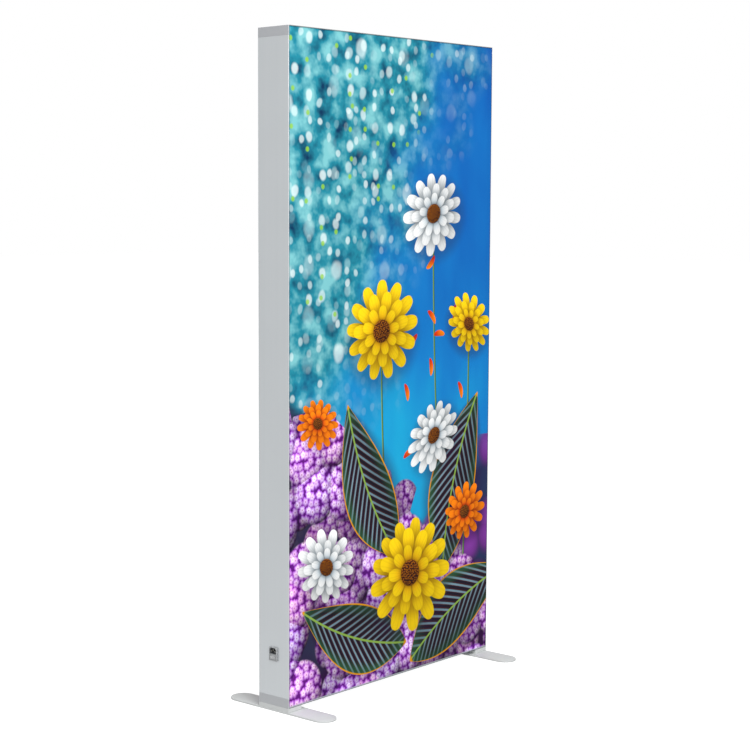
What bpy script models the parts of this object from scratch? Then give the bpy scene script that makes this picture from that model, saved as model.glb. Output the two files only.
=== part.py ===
"""Free-standing lightbox display wall: four aluminium profiles, two tensioned fabric graphics, LED bars
inside, a power inlet with a rocker switch in the left profile, and two bolted steel feet.

Metres, +Z up. X runs along the width, Y through the depth with the front at -Y, and the origin is on the
floor, midway between the feet.
"""

import math

import bmesh
import bpy
from mathutils import Vector

# Clearances
GAP = 0.0003            # left between pieces that touch
OVERRUN = 0.002         # how far a cutter runs past the wall it cuts
WELD_OVERLAP = 0.0006   # how far joined shapes run into each other

# Frame
FRAME_WIDTH = 1.000
FRAME_HEIGHT = 2.000
FRAME_DEPTH = 0.120

# Aluminium profile, one section for all four sides
PROFILE_HEIGHT = 0.028  # from its outer face to its inner face
WALL = 0.0018
WEB_PLACE = 0.0086      # of the inner web from the outer face
EDGE_CHAMFER = 0.0005
GROOVE_WIDTH = 0.0038   # takes the turned edge of the fabric and its bead
GROOVE_DEPTH = 0.016
CHANNEL_WIDTH = 0.021   # recess in the inner face for the LED bar and the corner brackets
CHANNEL_DEPTH = 0.0035

# End caps of the top and bottom profiles
PLUG_LENGTH = 0.010
PLUG_THICKNESS = 0.003

# Fabric graphics
FABRIC_THICKNESS = 0.0004
FABRIC_TURN = 0.014     # width of the edge that turns into the groove
FOLD_INSET = 0.0001     # of the turned edge from the panel's own edge
BEAD_DEPTH = 0.0125

# Corner brackets and their screws
BRACKET_LEG = 0.045
BRACKET_SCREW_REACH = 0.031   # from the bracket's corner to its screws
SCREW_RADIUS = 0.0025
SCREW_LENGTH = 0.010
SCREW_HEAD_RADIUS = 0.00475
SCREW_HEAD_HEIGHT = 0.0026
SCREW_SOCKET_RADIUS = 0.0016
SCREW_SOCKET_DEPTH = 0.0014

# Middle crossbar
CROSSBAR_WIDTH = 0.040
CROSSBAR_HEIGHT = 0.020
CROSSBAR_WALL = 0.0015
CROSSBAR_NOTCH = 0.012        # depth of the end notch that straddles the LED bar
CROSSBAR_NOTCH_MARGIN = 0.001
CROSSBAR_BRACKET_LEG = 0.030
CROSSBAR_BRACKET_WALL = 0.0025

# LED bars
LED_END_MARGIN = 0.220        # from the frame's top and bottom
LED_BOARD_THICKNESS = 0.0016
LED_PITCH = 0.100
LENS_RADIUS = 0.006
LENS_HEIGHT = 0.005
LED_PLUG_WIDTH = 0.014
LED_PLUG_HEIGHT = 0.010
LED_PLUG_LENGTH = 0.012

# LED driver
DRIVER_OFFSET = 0.105         # from the left outer face
DRIVER_LENGTH = 0.170
DRIVER_WIDTH = 0.056
DRIVER_HEIGHT = 0.036
DRIVER_WALL = 0.0015
DRIVER_RIB_WIDTH = 0.003
DRIVER_RIB_HEIGHT = 0.004
COVER_RIB_WALL = 0.0012
COVER_RIB_DEPTH = 0.004
BOARD_THICKNESS = 0.0016
BOARD_MARGIN = 0.0008
TRANSFORMER_SIZE = (0.036, 0.030, 0.020)
CAPACITOR_RADIUS = 0.008
CAPACITOR_HEIGHT = 0.021
HEAT_SINK_SIZE = (0.045, 0.003, 0.018)
TERMINAL_SIZE = (0.010, 0.024, 0.012)

# Leads inside the frame, and the clips that hold them
MAINS_LEAD_DIAMETER = 0.007
LED_LEAD_DIAMETER = 0.005
LEAD_STEP = 0.011             # between the points of a lead
LEAD_STRAIGHT = 0.014         # run of a lead straight out of what it meets
LED_LEAD_OFFSET = 0.014       # of each LED lead from the driver's middle line
SIDE_RUN_OFFSET = 0.034       # of the left lead's run beside the driver
RISE_OFFSET = 0.020           # of each LED lead where it climbs beside the inlet
LEAD_BEND = 0.026
CLIP_LENGTH = 0.010
CLIP_WALL = 0.0015
CLIP_FLANGE = 0.006

# Power inlet
INLET_HEIGHT = 0.1563         # of its middle above the frame's bottom
FLANGE_WIDTH = 0.032
FLANGE_HEIGHT = 0.042
FLANGE_PROUD = 0.0045
FLANGE_CORNER = 0.0025
FLANGE_BEVEL = 0.0006
FLANGE_LAP = 0.0014           # how far the flange covers the panel round its body
INLET_BODY_DEPTH = 0.019
SOCKET_RISE = 0.0092          # socket middle above the inlet's middle
SOCKET_WIDTH = 0.0244
SOCKET_HEIGHT = 0.0170
SOCKET_CUT_CORNER = 0.0048
SOCKET_WALL = 0.0008
SOCKET_FLOOR_WALL = 0.0016
SOCKET_DEPTH = 0.0165
SOCKET_SET_BACK = 0.0004
PIN_SPACING = 0.014
PIN_WIDTH = 0.002
PIN_HEIGHT = 0.004
PIN_SET_BACK = 0.0012
EARTH_PIN_RISE = 0.003
LINE_PIN_DROP = 0.001
BOOT_WIDTH = 0.024
BOOT_HEIGHT = 0.015
BOOT_LENGTH = 0.010
BOOT_CLEARANCE = 0.001

# Rocker switch
ROCKER_DROP = 0.0103          # rocker middle below the inlet's middle
ROCKER_HALF_LENGTH = 0.0088
ROCKER_WIDTH = 0.010
ROCKER_LIFT = 0.0003          # of its middle crease above the flange
ROCKER_TILT = math.radians(12)
PIVOT_DEPTH = 0.005           # of the rocker's axis below the flange face
PIVOT_RADIUS = 0.001
PIVOT_REACH = 0.0025          # of the pivot pin into each side wall
ROCKER_SKIRT = 0.0015         # of the rocker's ends below its axis
ROCKER_HUB = 0.0032           # of its hub below its axis
ROCKER_HUB_HALF_WIDTH = 0.003
WELL_FLOOR_DEPTH = 0.0048     # of the well's floor below the axis

# Feet
FOOT_LENGTH = 0.400
FOOT_WIDTH = 0.079
FOOT_THICKNESS = 0.006
FOOT_BEVEL = 0.0008
BLOCK_WIDTH = 0.058
BLOCK_HEIGHT = 0.0124
BLOCK_BEVEL = 0.001
BOLT_SPACING = 0.070
BOLT_RADIUS = 0.004
BOLT_HEAD_RADIUS = 0.0078
BOLT_HEAD_HEIGHT = 0.0042
BOLT_RIM = 0.0006
BOLT_GRIP = 0.006             # of the bolt inside the bottom profile
BOLT_SOCKET_RADIUS = 0.0026
BOLT_SOCKET_DEPTH = 0.0026
SINK_DEPTH = 0.0003           # of the bolt head below the plate's underside

# Counts, shares and the angle past which an edge is shaded sharp
SHARP_ANGLE = math.radians(35)
ROUND_SIDES = 16
BOLT_SIDES = 24
LENS_SIDES = 10
CORNER_STEPS = 5
HALF_ROUND_STEPS = 24
ARC_STEPS = 5
LENS_SHOULDER_SHARES = ((1.0, 0.45), (0.72, 0.85))
CAPACITOR_PLACE_SHARES = (-0.24, -0.08)
TRANSFORMER_PLACE_SHARE = 0.16
CLIP_PLACE_SHARES = {"middle": 0.0, "right": 0.5}

# Colours, roughness and metallic value of each finish
FINISHES = {
    "anodised": ((0.52, 0.54, 0.56), 0.42, 0.85),
    "cap_grey": ((0.40, 0.41, 0.43), 0.50, 0.0),
    "powder_coat": ((0.60, 0.61, 0.61), 0.45, 0.0),
    "print": ((0.03, 0.30, 0.55), 0.80, 0.0),
    "silicone": ((0.80, 0.80, 0.78), 0.60, 0.0),
    "steel": ((0.55, 0.55, 0.56), 0.30, 1.0),
    "board": ((0.85, 0.86, 0.84), 0.55, 0.0),
    "case": ((0.62, 0.63, 0.64), 0.45, 0.9),
    "lead": ((0.80, 0.80, 0.80), 0.55, 0.0),
    "clip": ((0.70, 0.70, 0.69), 0.55, 0.0),
    "inlet_grey": ((0.33, 0.34, 0.35), 0.50, 0.0),
    "socket_black": ((0.03, 0.03, 0.032), 0.45, 0.0),
    "pin_metal": ((0.66, 0.64, 0.58), 0.28, 1.0),
    "rocker_grey": ((0.42, 0.43, 0.44), 0.40, 0.0),
}

# Places worked out from the sizes above
HALF_WIDTH = FRAME_WIDTH / 2
HALF_DEPTH = FRAME_DEPTH / 2
HALF_CHANNEL = CHANNEL_WIDTH / 2
FRAME_BASE = FOOT_THICKNESS + GAP + BLOCK_HEIGHT + GAP
FRAME_TOP = FRAME_BASE + FRAME_HEIGHT
FRAME_MIDDLE = FRAME_BASE + FRAME_HEIGHT / 2
GROOVE_FLOOR = HALF_DEPTH - GROOVE_DEPTH
GROOVE_INNER = WALL + GROOVE_WIDTH
FINGER_INNER = GROOVE_INNER + WALL
FINGER_TIP = HALF_DEPTH - FABRIC_THICKNESS - GAP
CHANNEL_FLOOR = PROFILE_HEIGHT - CHANNEL_DEPTH
BRACKET_WALL = CHANNEL_DEPTH - 2 * GAP
LED_BOARD_FACE = CHANNEL_FLOOR + GAP + LED_BOARD_THICKNESS
LED_LENGTH = FRAME_HEIGHT - 2 * LED_END_MARGIN
DRIVER_LEFT = DRIVER_OFFSET - HALF_WIDTH
DRIVER_RIGHT = DRIVER_LEFT + DRIVER_LENGTH
DRIVER_BASE = FRAME_BASE + PROFILE_HEIGHT + GAP
INLET_Z = FRAME_BASE + INLET_HEIGHT
SOCKET_Z = INLET_Z + SOCKET_RISE
ROCKER_Z = INLET_Z - ROCKER_DROP
PIVOT_X = -HALF_WIDTH - FLANGE_PROUD + PIVOT_DEPTH
ROCKER_CREST = PIVOT_DEPTH + ROCKER_LIFT + ROCKER_HALF_LENGTH * math.tan(ROCKER_TILT)
ROCKER_RADIUS = math.hypot(ROCKER_HALF_LENGTH, ROCKER_CREST)
SOCKET_FLOOR_X = -HALF_WIDTH - FLANGE_PROUD + SOCKET_SET_BACK + SOCKET_DEPTH
PIN_END_X = INLET_BODY_DEPTH - HALF_WIDTH
BOOT_END_X = PIN_END_X + GAP + BOOT_LENGTH

SIDES = {"left": -1, "right": 1}
FACES = {"front": -1, "back": 1}
LEVELS = ("bottom", "top")


def side_x(side, inwards):
    """World X of a place that lies this far inwards from a side's outer face."""
    return SIDES[side] * (HALF_WIDTH - inwards)


def level_z(level, inwards):
    """World Z of a place that lies this far inwards from the frame's bottom or top."""
    return FRAME_BASE + inwards if level == "bottom" else FRAME_TOP - inwards


# Making shapes

def clear_scene():
    for old in list(bpy.data.objects):
        bpy.data.objects.remove(old, do_unlink=True)


def add_object(name, mesh, location):
    obj = bpy.data.objects.new(name, mesh)
    obj.location = location
    bpy.context.scene.collection.objects.link(obj)
    return obj


def settle(name, shape, origin=None):
    """Turns a shape drawn in world places into an object, with its origin at its middle or where told."""
    bmesh.ops.recalc_face_normals(shape, faces=shape.faces[:])
    if origin is None:
        places = [vert.co for vert in shape.verts]
        low = Vector([min(place[i] for place in places) for i in range(3)])
        high = Vector([max(place[i] for place in places) for i in range(3)])
        origin = (low + high) / 2
    origin = Vector(origin)
    bmesh.ops.translate(shape, verts=shape.verts[:], vec=-origin)
    mesh = bpy.data.meshes.new(name)
    shape.to_mesh(mesh)
    shape.free()
    mesh.shade_smooth()
    mesh.set_sharp_from_angle(angle=SHARP_ANGLE)
    return add_object(name, mesh, origin)


def along(axis, u, v, w):
    """A world place from two places across an axis and one along it."""
    return {"X": (w, u, v), "Y": (u, w, v), "Z": (u, v, w)}[axis]


def add_prism(shape, axis, outline, start, end, holes=()):
    """Adds a closed prism whose outline, with any holes, is drawn across the axis."""
    rims = {start: [], end: []}
    for loop in (outline, *holes):
        rings = {w: [shape.verts.new(along(axis, u, v, w)) for u, v in loop] for w in (start, end)}
        for i in range(len(loop)):
            shape.faces.new((rings[start][i - 1], rings[start][i], rings[end][i], rings[end][i - 1]))
            for w in (start, end):
                rims[w].append(shape.edges.get((rings[w][i - 1], rings[w][i])))
    for w in (start, end):
        bmesh.ops.triangle_fill(shape, use_beauty=True, edges=rims[w])


def prism(name, axis, outline, start, end, holes=(), origin=None):
    shape = bmesh.new()
    add_prism(shape, axis, outline, start, end, holes)
    return settle(name, shape, origin)


def rectangle(u, v):
    return [(u[0], v[0]), (u[1], v[0]), (u[1], v[1]), (u[0], v[1])]


def block(name, x, y, z):
    return prism(name, "X", rectangle(y, z), min(x), max(x))


def add_turned(shape, axis, centre, steps, sides):
    """Adds a closed turned shape: steps are (radius, place along the axis), and both ends lie on the axis."""
    rings = []
    for radius, w in steps:
        if radius == 0:
            rings.append([shape.verts.new(along(axis, *centre, w))])
            continue
        turns = [math.tau * i / sides for i in range(sides)]
        points = [(centre[0] + radius * math.cos(t), centre[1] + radius * math.sin(t)) for t in turns]
        rings.append([shape.verts.new(along(axis, *point, w)) for point in points])
    for low, high in zip(rings, rings[1:]):
        for i in range(sides):
            corners = [low[i % len(low)], low[(i + 1) % len(low)]]
            corners += [high[(i + 1) % len(high)], high[i % len(high)]]
            shape.faces.new(list(dict.fromkeys(corners)))


def turned(name, axis, centre, steps, sides=ROUND_SIDES):
    shape = bmesh.new()
    add_turned(shape, axis, centre, steps, sides)
    return settle(name, shape)


def rod_steps(radius, start, end):
    return [(0, start), (radius, start), (radius, end), (0, end)]


def combine(obj, tool, operation):
    """Cuts a tool from an object or joins it on. The tool stays as a hidden guide."""
    tool.hide_render = True
    tool.display_type = "WIRE"
    modifier = obj.modifiers.new(tool.name, "BOOLEAN")
    modifier.operation = operation
    modifier.solver = "EXACT"
    modifier.object = tool
    return obj


def cut(obj, tool):
    return combine(obj, tool, "DIFFERENCE")


def join(obj, tool):
    return combine(obj, tool, "UNION")


def bevel(obj, width):
    modifier = obj.modifiers.new("edge", "BEVEL")
    modifier.width = width
    modifier.segments = 2
    modifier.limit_method = "ANGLE"
    return obj


def rounded_rectangle(centre, width, height, radius):
    points = []
    for quarter, (du, dv) in enumerate(((1, 1), (-1, 1), (-1, -1), (1, -1))):
        u = centre[0] + du * (width / 2 - radius)
        v = centre[1] + dv * (height / 2 - radius)
        for i in range(CORNER_STEPS + 1):
            turn = math.pi / 2 * (quarter + i / CORNER_STEPS)
            points.append((u + radius * math.cos(turn), v + radius * math.sin(turn)))
    return points


def dress(obj, finish):
    """Gives an object its own material with the colour, roughness and metallic value of a finish."""
    colour, roughness, metallic = FINISHES[finish]
    material = bpy.data.materials.new(f"{obj.name}_{finish}")
    material.use_nodes = True
    shader = material.node_tree.nodes["Principled BSDF"]
    shader.inputs["Base Color"].default_value = (*colour, 1)
    shader.inputs["Roughness"].default_value = roughness
    shader.inputs["Metallic"].default_value = metallic
    obj.data.materials.append(material)
    return obj


# Aluminium frame

def profile_outline():
    """The section, as (depth, inwards): the outer wall, a fabric groove at each face, and the channel."""
    right = [
        (HALF_DEPTH - EDGE_CHAMFER, 0),
        (HALF_DEPTH, EDGE_CHAMFER),
        (HALF_DEPTH, WALL),
        (GROOVE_FLOOR, WALL),
        (GROOVE_FLOOR, GROOVE_INNER),
        (FINGER_TIP, GROOVE_INNER),
        (FINGER_TIP, FINGER_INNER),
        (GROOVE_FLOOR, FINGER_INNER),
        (GROOVE_FLOOR, PROFILE_HEIGHT),
        (HALF_CHANNEL, PROFILE_HEIGHT),
        (HALF_CHANNEL, CHANNEL_FLOOR),
    ]
    return right + [(-depth, inwards) for depth, inwards in reversed(right)]


def chamber_outlines():
    """The two hollows of the section, on either side of its web."""
    half = GROOVE_FLOOR - WALL
    outer = rectangle((-half, half), (WALL, WEB_PLACE))
    right = [
        (half, WEB_PLACE + WALL),
        (half, PROFILE_HEIGHT - WALL),
        (HALF_CHANNEL + WALL, PROFILE_HEIGHT - WALL),
        (HALF_CHANNEL + WALL, CHANNEL_FLOOR - WALL),
    ]
    return outer, right + [(-depth, inwards) for depth, inwards in reversed(right)]


def upright(side):
    """The left or right profile, which stands between the top and bottom ones."""
    def place(outline):
        return [(side_x(side, inwards), depth) for depth, inwards in outline]

    low = level_z("bottom", PROFILE_HEIGHT + GAP)
    high = level_z("top", PROFILE_HEIGHT + GAP)
    hollows = [place(outline) for outline in chamber_outlines()]
    return dress(prism(f"{side}_profile", "Z", place(profile_outline()), low, high, hollows), "anodised")


def rail(level):
    """The top or bottom profile, which runs the full width between its end caps."""
    def place(outline):
        return [(depth, level_z(level, inwards)) for depth, inwards in outline]

    reach = HALF_WIDTH - WALL - GAP
    hollows = [place(outline) for outline in chamber_outlines()]
    return dress(prism(f"{level}_profile", "X", place(profile_outline()), -reach, reach, hollows), "anodised")


def end_cap(level, side):
    """A cover on a rail's open end, with two tongues that plug into the rail's hollow."""
    name = f"{level}_{side}_end_cap"
    outline = [
        (-HALF_DEPTH, WALL),
        (-HALF_DEPTH, EDGE_CHAMFER),
        (EDGE_CHAMFER - HALF_DEPTH, 0),
        (HALF_DEPTH - EDGE_CHAMFER, 0),
        (HALF_DEPTH, EDGE_CHAMFER),
        (HALF_DEPTH, WALL),
    ]
    outline = [(side_x(side, inwards), depth) for depth, inwards in outline]
    low, high = sorted((level_z(level, 0), level_z(level, PROFILE_HEIGHT)))
    cap = prism(name, "Z", outline, low, high)
    inner_edge = HALF_CHANNEL + WALL + GAP
    outer_edge = GROOVE_FLOOR - WALL - GAP
    for face, sign in FACES.items():
        tongue = block(
            f"{name}_{face}_tongue",
            (side_x(side, WALL - WELD_OVERLAP), side_x(side, WALL + PLUG_LENGTH)),
            (sign * inner_edge, sign * outer_edge),
            (level_z(level, WALL + GAP), level_z(level, WALL + GAP + PLUG_THICKNESS)),
        )
        join(cap, tongue)
    return dress(cap, "cap_grey")


def socket_screw_steps(foot, tip_length, radius, head_radius, head_height, socket_radius, socket_depth, way):
    """A socket-head screw's steps: foot is where its head begins, and way is +1 where it points down."""
    return [
        (0, foot - way * tip_length),
        (radius, foot - way * tip_length),
        (radius, foot),
        (head_radius, foot),
        (head_radius, foot + way * head_height),
        (socket_radius, foot + way * head_height),
        (socket_radius, foot + way * (head_height - socket_depth)),
        (0, foot + way * (head_height - socket_depth)),
    ]


def bracket_screw(name, axis, centre, face, way):
    steps = socket_screw_steps(
        face + way * GAP, SCREW_LENGTH, SCREW_RADIUS, SCREW_HEAD_RADIUS,
        SCREW_HEAD_HEIGHT, SCREW_SOCKET_RADIUS, SCREW_SOCKET_DEPTH, way,
    )
    return dress(turned(name, axis, centre, steps), "steel")


def screw_hole(name, axis, centre, face, way):
    """A clearance hole through a bracket and the channel floor behind it."""
    reach = SCREW_LENGTH + OVERRUN
    steps = rod_steps(SCREW_RADIUS + GAP, face + way * OVERRUN, face - way * reach)
    return turned(name, axis, centre, steps)


def corner_bracket(level, side, frame):
    """An angle bracket in the channels of a rail and an upright, with a screw into each."""
    name = f"{level}_{side}_corner_bracket"
    outer = CHANNEL_FLOOR + GAP
    inner = outer + BRACKET_WALL
    far = outer + BRACKET_LEG
    corners = [(outer, outer), (far, outer), (far, inner), (inner, inner), (inner, far), (outer, far)]
    outline = [(side_x(side, u), level_z(level, v)) for u, v in corners]
    half = HALF_CHANNEL - GAP
    bracket = prism(name, "Y", outline, -half, half)
    reach = outer + BRACKET_SCREW_REACH
    up = 1 if level == "bottom" else -1
    places = {
        "rail": ("Z", (side_x(side, reach), 0), level_z(level, inner), up, f"{level}_profile"),
        "upright": ("X", (0, level_z(level, reach)), side_x(side, inner), -SIDES[side], f"{side}_profile"),
    }
    for leg, (axis, centre, face, way, carrier) in places.items():
        hole = screw_hole(f"{name}_{leg}_hole", axis, centre, face, way)
        cut(bracket, hole)
        cut(frame[carrier], hole)
        bracket_screw(f"{level}_{side}_{leg}_screw", axis, centre, face, way)
    return dress(bracket, "steel")


def crossbar():
    """A tube across the middle, notched at each end to straddle the LED bar."""
    reach = HALF_WIDTH - PROFILE_HEIGHT - GAP

    def tube(inset):
        half = CROSSBAR_WIDTH / 2 - inset
        rise = CROSSBAR_HEIGHT / 2 - inset
        return rectangle((-half, half), (FRAME_MIDDLE - rise, FRAME_MIDDLE + rise))

    bar = prism("middle_crossbar", "X", tube(0), -reach, reach, [tube(CROSSBAR_WALL)])
    half = HALF_CHANNEL + CROSSBAR_NOTCH_MARGIN
    rise = CROSSBAR_HEIGHT / 2 + OVERRUN
    for side, sign in SIDES.items():
        notch = block(
            f"crossbar_{side}_notch",
            (sign * (reach - CROSSBAR_NOTCH), sign * (reach + OVERRUN)),
            (-half, half),
            (FRAME_MIDDLE - rise, FRAME_MIDDLE + rise),
        )
        cut(bar, notch)
    return dress(bar, "anodised")


def crossbar_bracket(side):
    """An angle under the crossbar's end, clear of the LED bar."""
    outer = PROFILE_HEIGHT + GAP
    inner = outer + CROSSBAR_BRACKET_WALL
    far = outer + CROSSBAR_BRACKET_LEG
    top = FRAME_MIDDLE - CROSSBAR_HEIGHT / 2 - GAP
    corners = [
        (outer, top),
        (far, top),
        (far, top - CROSSBAR_BRACKET_WALL),
        (inner, top - CROSSBAR_BRACKET_WALL),
        (inner, top - CROSSBAR_BRACKET_LEG),
        (outer, top - CROSSBAR_BRACKET_LEG),
    ]
    outline = [(side_x(side, inwards), z) for inwards, z in corners]
    near = HALF_CHANNEL + CROSSBAR_NOTCH_MARGIN
    return dress(prism(f"crossbar_bracket_{side}", "Y", outline, near, CROSSBAR_WIDTH / 2), "steel")


# Fabric graphics

def graphic(face):
    """A fabric panel flush with the frame's lips, with each edge turned back into its groove."""
    sign = FACES[face]
    name = f"{face}_graphic"
    reach = HALF_WIDTH - WALL - GAP
    low = level_z("bottom", WALL + GAP)
    high = level_z("top", WALL + GAP)
    skin = (sign * (HALF_DEPTH - FABRIC_THICKNESS), sign * HALF_DEPTH)
    turn = (sign * (HALF_DEPTH - FABRIC_TURN), sign * (HALF_DEPTH - FABRIC_THICKNESS / 2))
    panel = block(name, (-reach, reach), skin, (low, high))
    outer = WALL + GAP + FOLD_INSET
    inner = outer + FABRIC_THICKNESS
    clear = FINGER_INNER + GAP
    for side in SIDES:
        x = (side_x(side, outer), side_x(side, inner))
        z = (level_z("bottom", clear), level_z("top", clear))
        join(panel, block(f"{name}_{side}_turn", x, turn, z))
    for level in LEVELS:
        x = (FOLD_INSET - reach, reach - FOLD_INSET)
        z = (level_z(level, outer), level_z(level, inner))
        join(panel, block(f"{name}_{level}_turn", x, turn, z))
    return dress(panel, "print")


def bead(face, edge):
    """The silicone strip sewn to one turned edge, which holds the fabric in its groove."""
    sign = FACES[face]
    outer = WALL + FOLD_INSET + FABRIC_THICKNESS + 2 * GAP
    inner = GROOVE_INNER - GAP
    depth = (sign * (FINGER_TIP - BEAD_DEPTH), sign * FINGER_TIP)
    if edge in SIDES:
        clear = FINGER_INNER + GAP
        x = (side_x(edge, outer), side_x(edge, inner))
        z = (level_z("bottom", clear), level_z("top", clear))
    else:
        reach = HALF_WIDTH - outer
        x = (-reach, reach)
        z = (level_z(edge, outer), level_z(edge, inner))
    return dress(block(f"{face}_bead_{edge}", x, depth, z), "silicone")


# Light

def lens_places():
    """Heights of the lenses, spread evenly above and below the crossbar."""
    each_way = int((LED_LENGTH / 2 - LENS_RADIUS) / LED_PITCH + 1 / 2)
    steps = [LED_PITCH * (i + 1 / 2) for i in range(each_way)]
    return sorted([FRAME_MIDDLE - step for step in steps] + [FRAME_MIDDLE + step for step in steps])


def led_bar(side):
    """A circuit board in the channel of an upright, with a lens over each LED and a plug at its foot."""
    inwards = -SIDES[side]
    half = HALF_CHANNEL - GAP
    low = FRAME_MIDDLE - LED_LENGTH / 2
    high = FRAME_MIDDLE + LED_LENGTH / 2
    board_x = (side_x(side, CHANNEL_FLOOR + GAP), side_x(side, LED_BOARD_FACE))
    bar = block(f"led_bar_{side}", board_x, (-half, half), (low, high))
    face = side_x(side, LED_BOARD_FACE)
    lenses = bmesh.new()
    for z in lens_places():
        steps = [(0, face - inwards * WELD_OVERLAP), (LENS_RADIUS, face - inwards * WELD_OVERLAP)]
        for wide, tall in LENS_SHOULDER_SHARES:
            steps.append((LENS_RADIUS * wide, face + inwards * LENS_HEIGHT * tall))
        steps.append((0, face + inwards * LENS_HEIGHT))
        add_turned(lenses, "X", (0, z), steps, LENS_SIDES)
    join(bar, settle(f"led_bar_{side}_lenses", lenses))
    plug = block(
        f"led_bar_{side}_plug",
        (face - inwards * WELD_OVERLAP, face + inwards * LED_PLUG_HEIGHT),
        (-LED_PLUG_WIDTH / 2, LED_PLUG_WIDTH / 2),
        (low + WELD_OVERLAP, low + WELD_OVERLAP + LED_PLUG_LENGTH),
    )
    return dress(join(bar, plug), "board")


def driver_case():
    """An open tray with two ribs that carry the circuit board."""
    half = DRIVER_WIDTH / 2
    top = DRIVER_BASE + DRIVER_HEIGHT
    case = block("driver_case", (DRIVER_LEFT, DRIVER_RIGHT), (-half, half), (DRIVER_BASE, top))
    inner_half = half - DRIVER_WALL
    hollow_x = (DRIVER_LEFT + DRIVER_WALL, DRIVER_RIGHT - DRIVER_WALL)
    floor = DRIVER_BASE + DRIVER_WALL
    cut(case, block("driver_hollow", hollow_x, (-inner_half, inner_half), (floor, top + OVERRUN)))
    for face, sign in FACES.items():
        rib = block(
            f"driver_{face}_rib",
            (hollow_x[0] - WELD_OVERLAP, hollow_x[1] + WELD_OVERLAP),
            (sign * (inner_half - DRIVER_RIB_WIDTH), sign * (inner_half + WELD_OVERLAP)),
            (floor - WELD_OVERLAP, floor + DRIVER_RIB_HEIGHT),
        )
        join(case, rib)
    return dress(case, "case")


def driver_cover():
    """The driver's lid, with a rib down each long side to locate it in the case."""
    half = DRIVER_WIDTH / 2
    low = DRIVER_BASE + DRIVER_HEIGHT + GAP
    cover = block("driver_cover", (DRIVER_LEFT, DRIVER_RIGHT), (-half, half), (low, low + DRIVER_WALL))
    outer = half - DRIVER_WALL - GAP
    inset = DRIVER_WALL + GAP
    for face, sign in FACES.items():
        rib = block(
            f"cover_{face}_rib",
            (DRIVER_LEFT + inset, DRIVER_RIGHT - inset),
            (sign * (outer - COVER_RIB_WALL), sign * outer),
            (low - COVER_RIB_DEPTH, low + WELD_OVERLAP),
        )
        join(cover, rib)
    return dress(cover, "case")


def driver_board():
    """The driver's circuit board with its transformer, capacitors, heat sink and terminals."""
    margin = DRIVER_WALL + BOARD_MARGIN
    half = DRIVER_WIDTH / 2 - margin
    low = DRIVER_BASE + DRIVER_WALL + DRIVER_RIB_HEIGHT + GAP
    top = low + BOARD_THICKNESS
    left, right = DRIVER_LEFT + margin, DRIVER_RIGHT - margin
    middle = (left + right) / 2
    board = block("driver_board", (left, right), (-half, half), (low, top))

    def fit(name, x, y, size):
        place_x = (x - size[0] / 2, x + size[0] / 2)
        place_y = (y - size[1] / 2, y + size[1] / 2)
        join(board, block(name, place_x, place_y, (top - WELD_OVERLAP, top + size[2])))

    fit("driver_transformer", middle + TRANSFORMER_PLACE_SHARE * DRIVER_LENGTH, 0, TRANSFORMER_SIZE)
    fit("driver_heat_sink", middle, half - HEAT_SINK_SIZE[1], HEAT_SINK_SIZE)
    fit("driver_input_terminal", left + TERMINAL_SIZE[0], 0, TERMINAL_SIZE)
    fit("driver_output_terminal", right - TERMINAL_SIZE[0], 0, TERMINAL_SIZE)
    for i, share in enumerate(CAPACITOR_PLACE_SHARES):
        steps = rod_steps(CAPACITOR_RADIUS, top - WELD_OVERLAP, top + CAPACITOR_HEIGHT)
        join(board, turned(f"driver_capacitor_{i}", "Z", (middle + share * DRIVER_LENGTH, 0), steps))
    return dress(board, "board")


# Leads

def smooth_route(guides):
    """Points about a lead's step apart on the cubic B-spline that the guide points draw."""
    guides = [Vector(guide) for guide in guides]
    guides = [guides[0]] * 2 + guides + [guides[-1]] * 2
    smooth = []
    for a, b, c, d in zip(guides, guides[1:], guides[2:], guides[3:]):
        steps = max(1, round((c - b).length / LEAD_STEP))
        for i in range(steps):
            t = i / steps
            point = (1 - t) ** 3 * a + (3 * t**3 - 6 * t**2 + 4) * b
            point += (3 * t**2 - 3 * t**3 + 3 * t + 1) * c + t**3 * d
            smooth.append(point / 6)
    return [*smooth, guides[-1]]


def lead(name, diameter, route):
    points = smooth_route(route)
    curve = bpy.data.curves.new(name, "CURVE")
    curve.dimensions = "3D"
    curve.bevel_depth = diameter / 2
    curve.bevel_resolution = 2
    curve.use_fill_caps = True
    spline = curve.splines.new("POLY")
    spline.points.add(len(points) - 1)
    for knot, point in zip(spline.points, points):
        knot.co = (*(point - points[0]), 1)
    return dress(add_object(name, curve, points[0]), "lead")


def mains_lead():
    """From the boot behind the inlet down to the driver."""
    start = Vector((BOOT_END_X + GAP, 0, SOCKET_Z))
    end = Vector((DRIVER_LEFT - GAP, 0, DRIVER_BASE + DRIVER_HEIGHT / 2))
    step = Vector((LEAD_STRAIGHT, 0, 0))
    turn_down = start + step + Vector((LEAD_STRAIGHT, 0, -LEAD_STRAIGHT / 2))
    turn_in = end - step + Vector((-LEAD_STRAIGHT / 2, 0, LEAD_STRAIGHT / 2))
    lead("mains_lead", MAINS_LEAD_DIAMETER, [start, start + step, turn_down, turn_in, end - step, end])


def led_plug_place(side):
    """Where a lead meets the foot of an LED bar's plug."""
    x = side_x(side, LED_BOARD_FACE + LED_PLUG_HEIGHT / 2)
    return Vector((x, 0, FRAME_MIDDLE - LED_LENGTH / 2 + WELD_OVERLAP - GAP))


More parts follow.
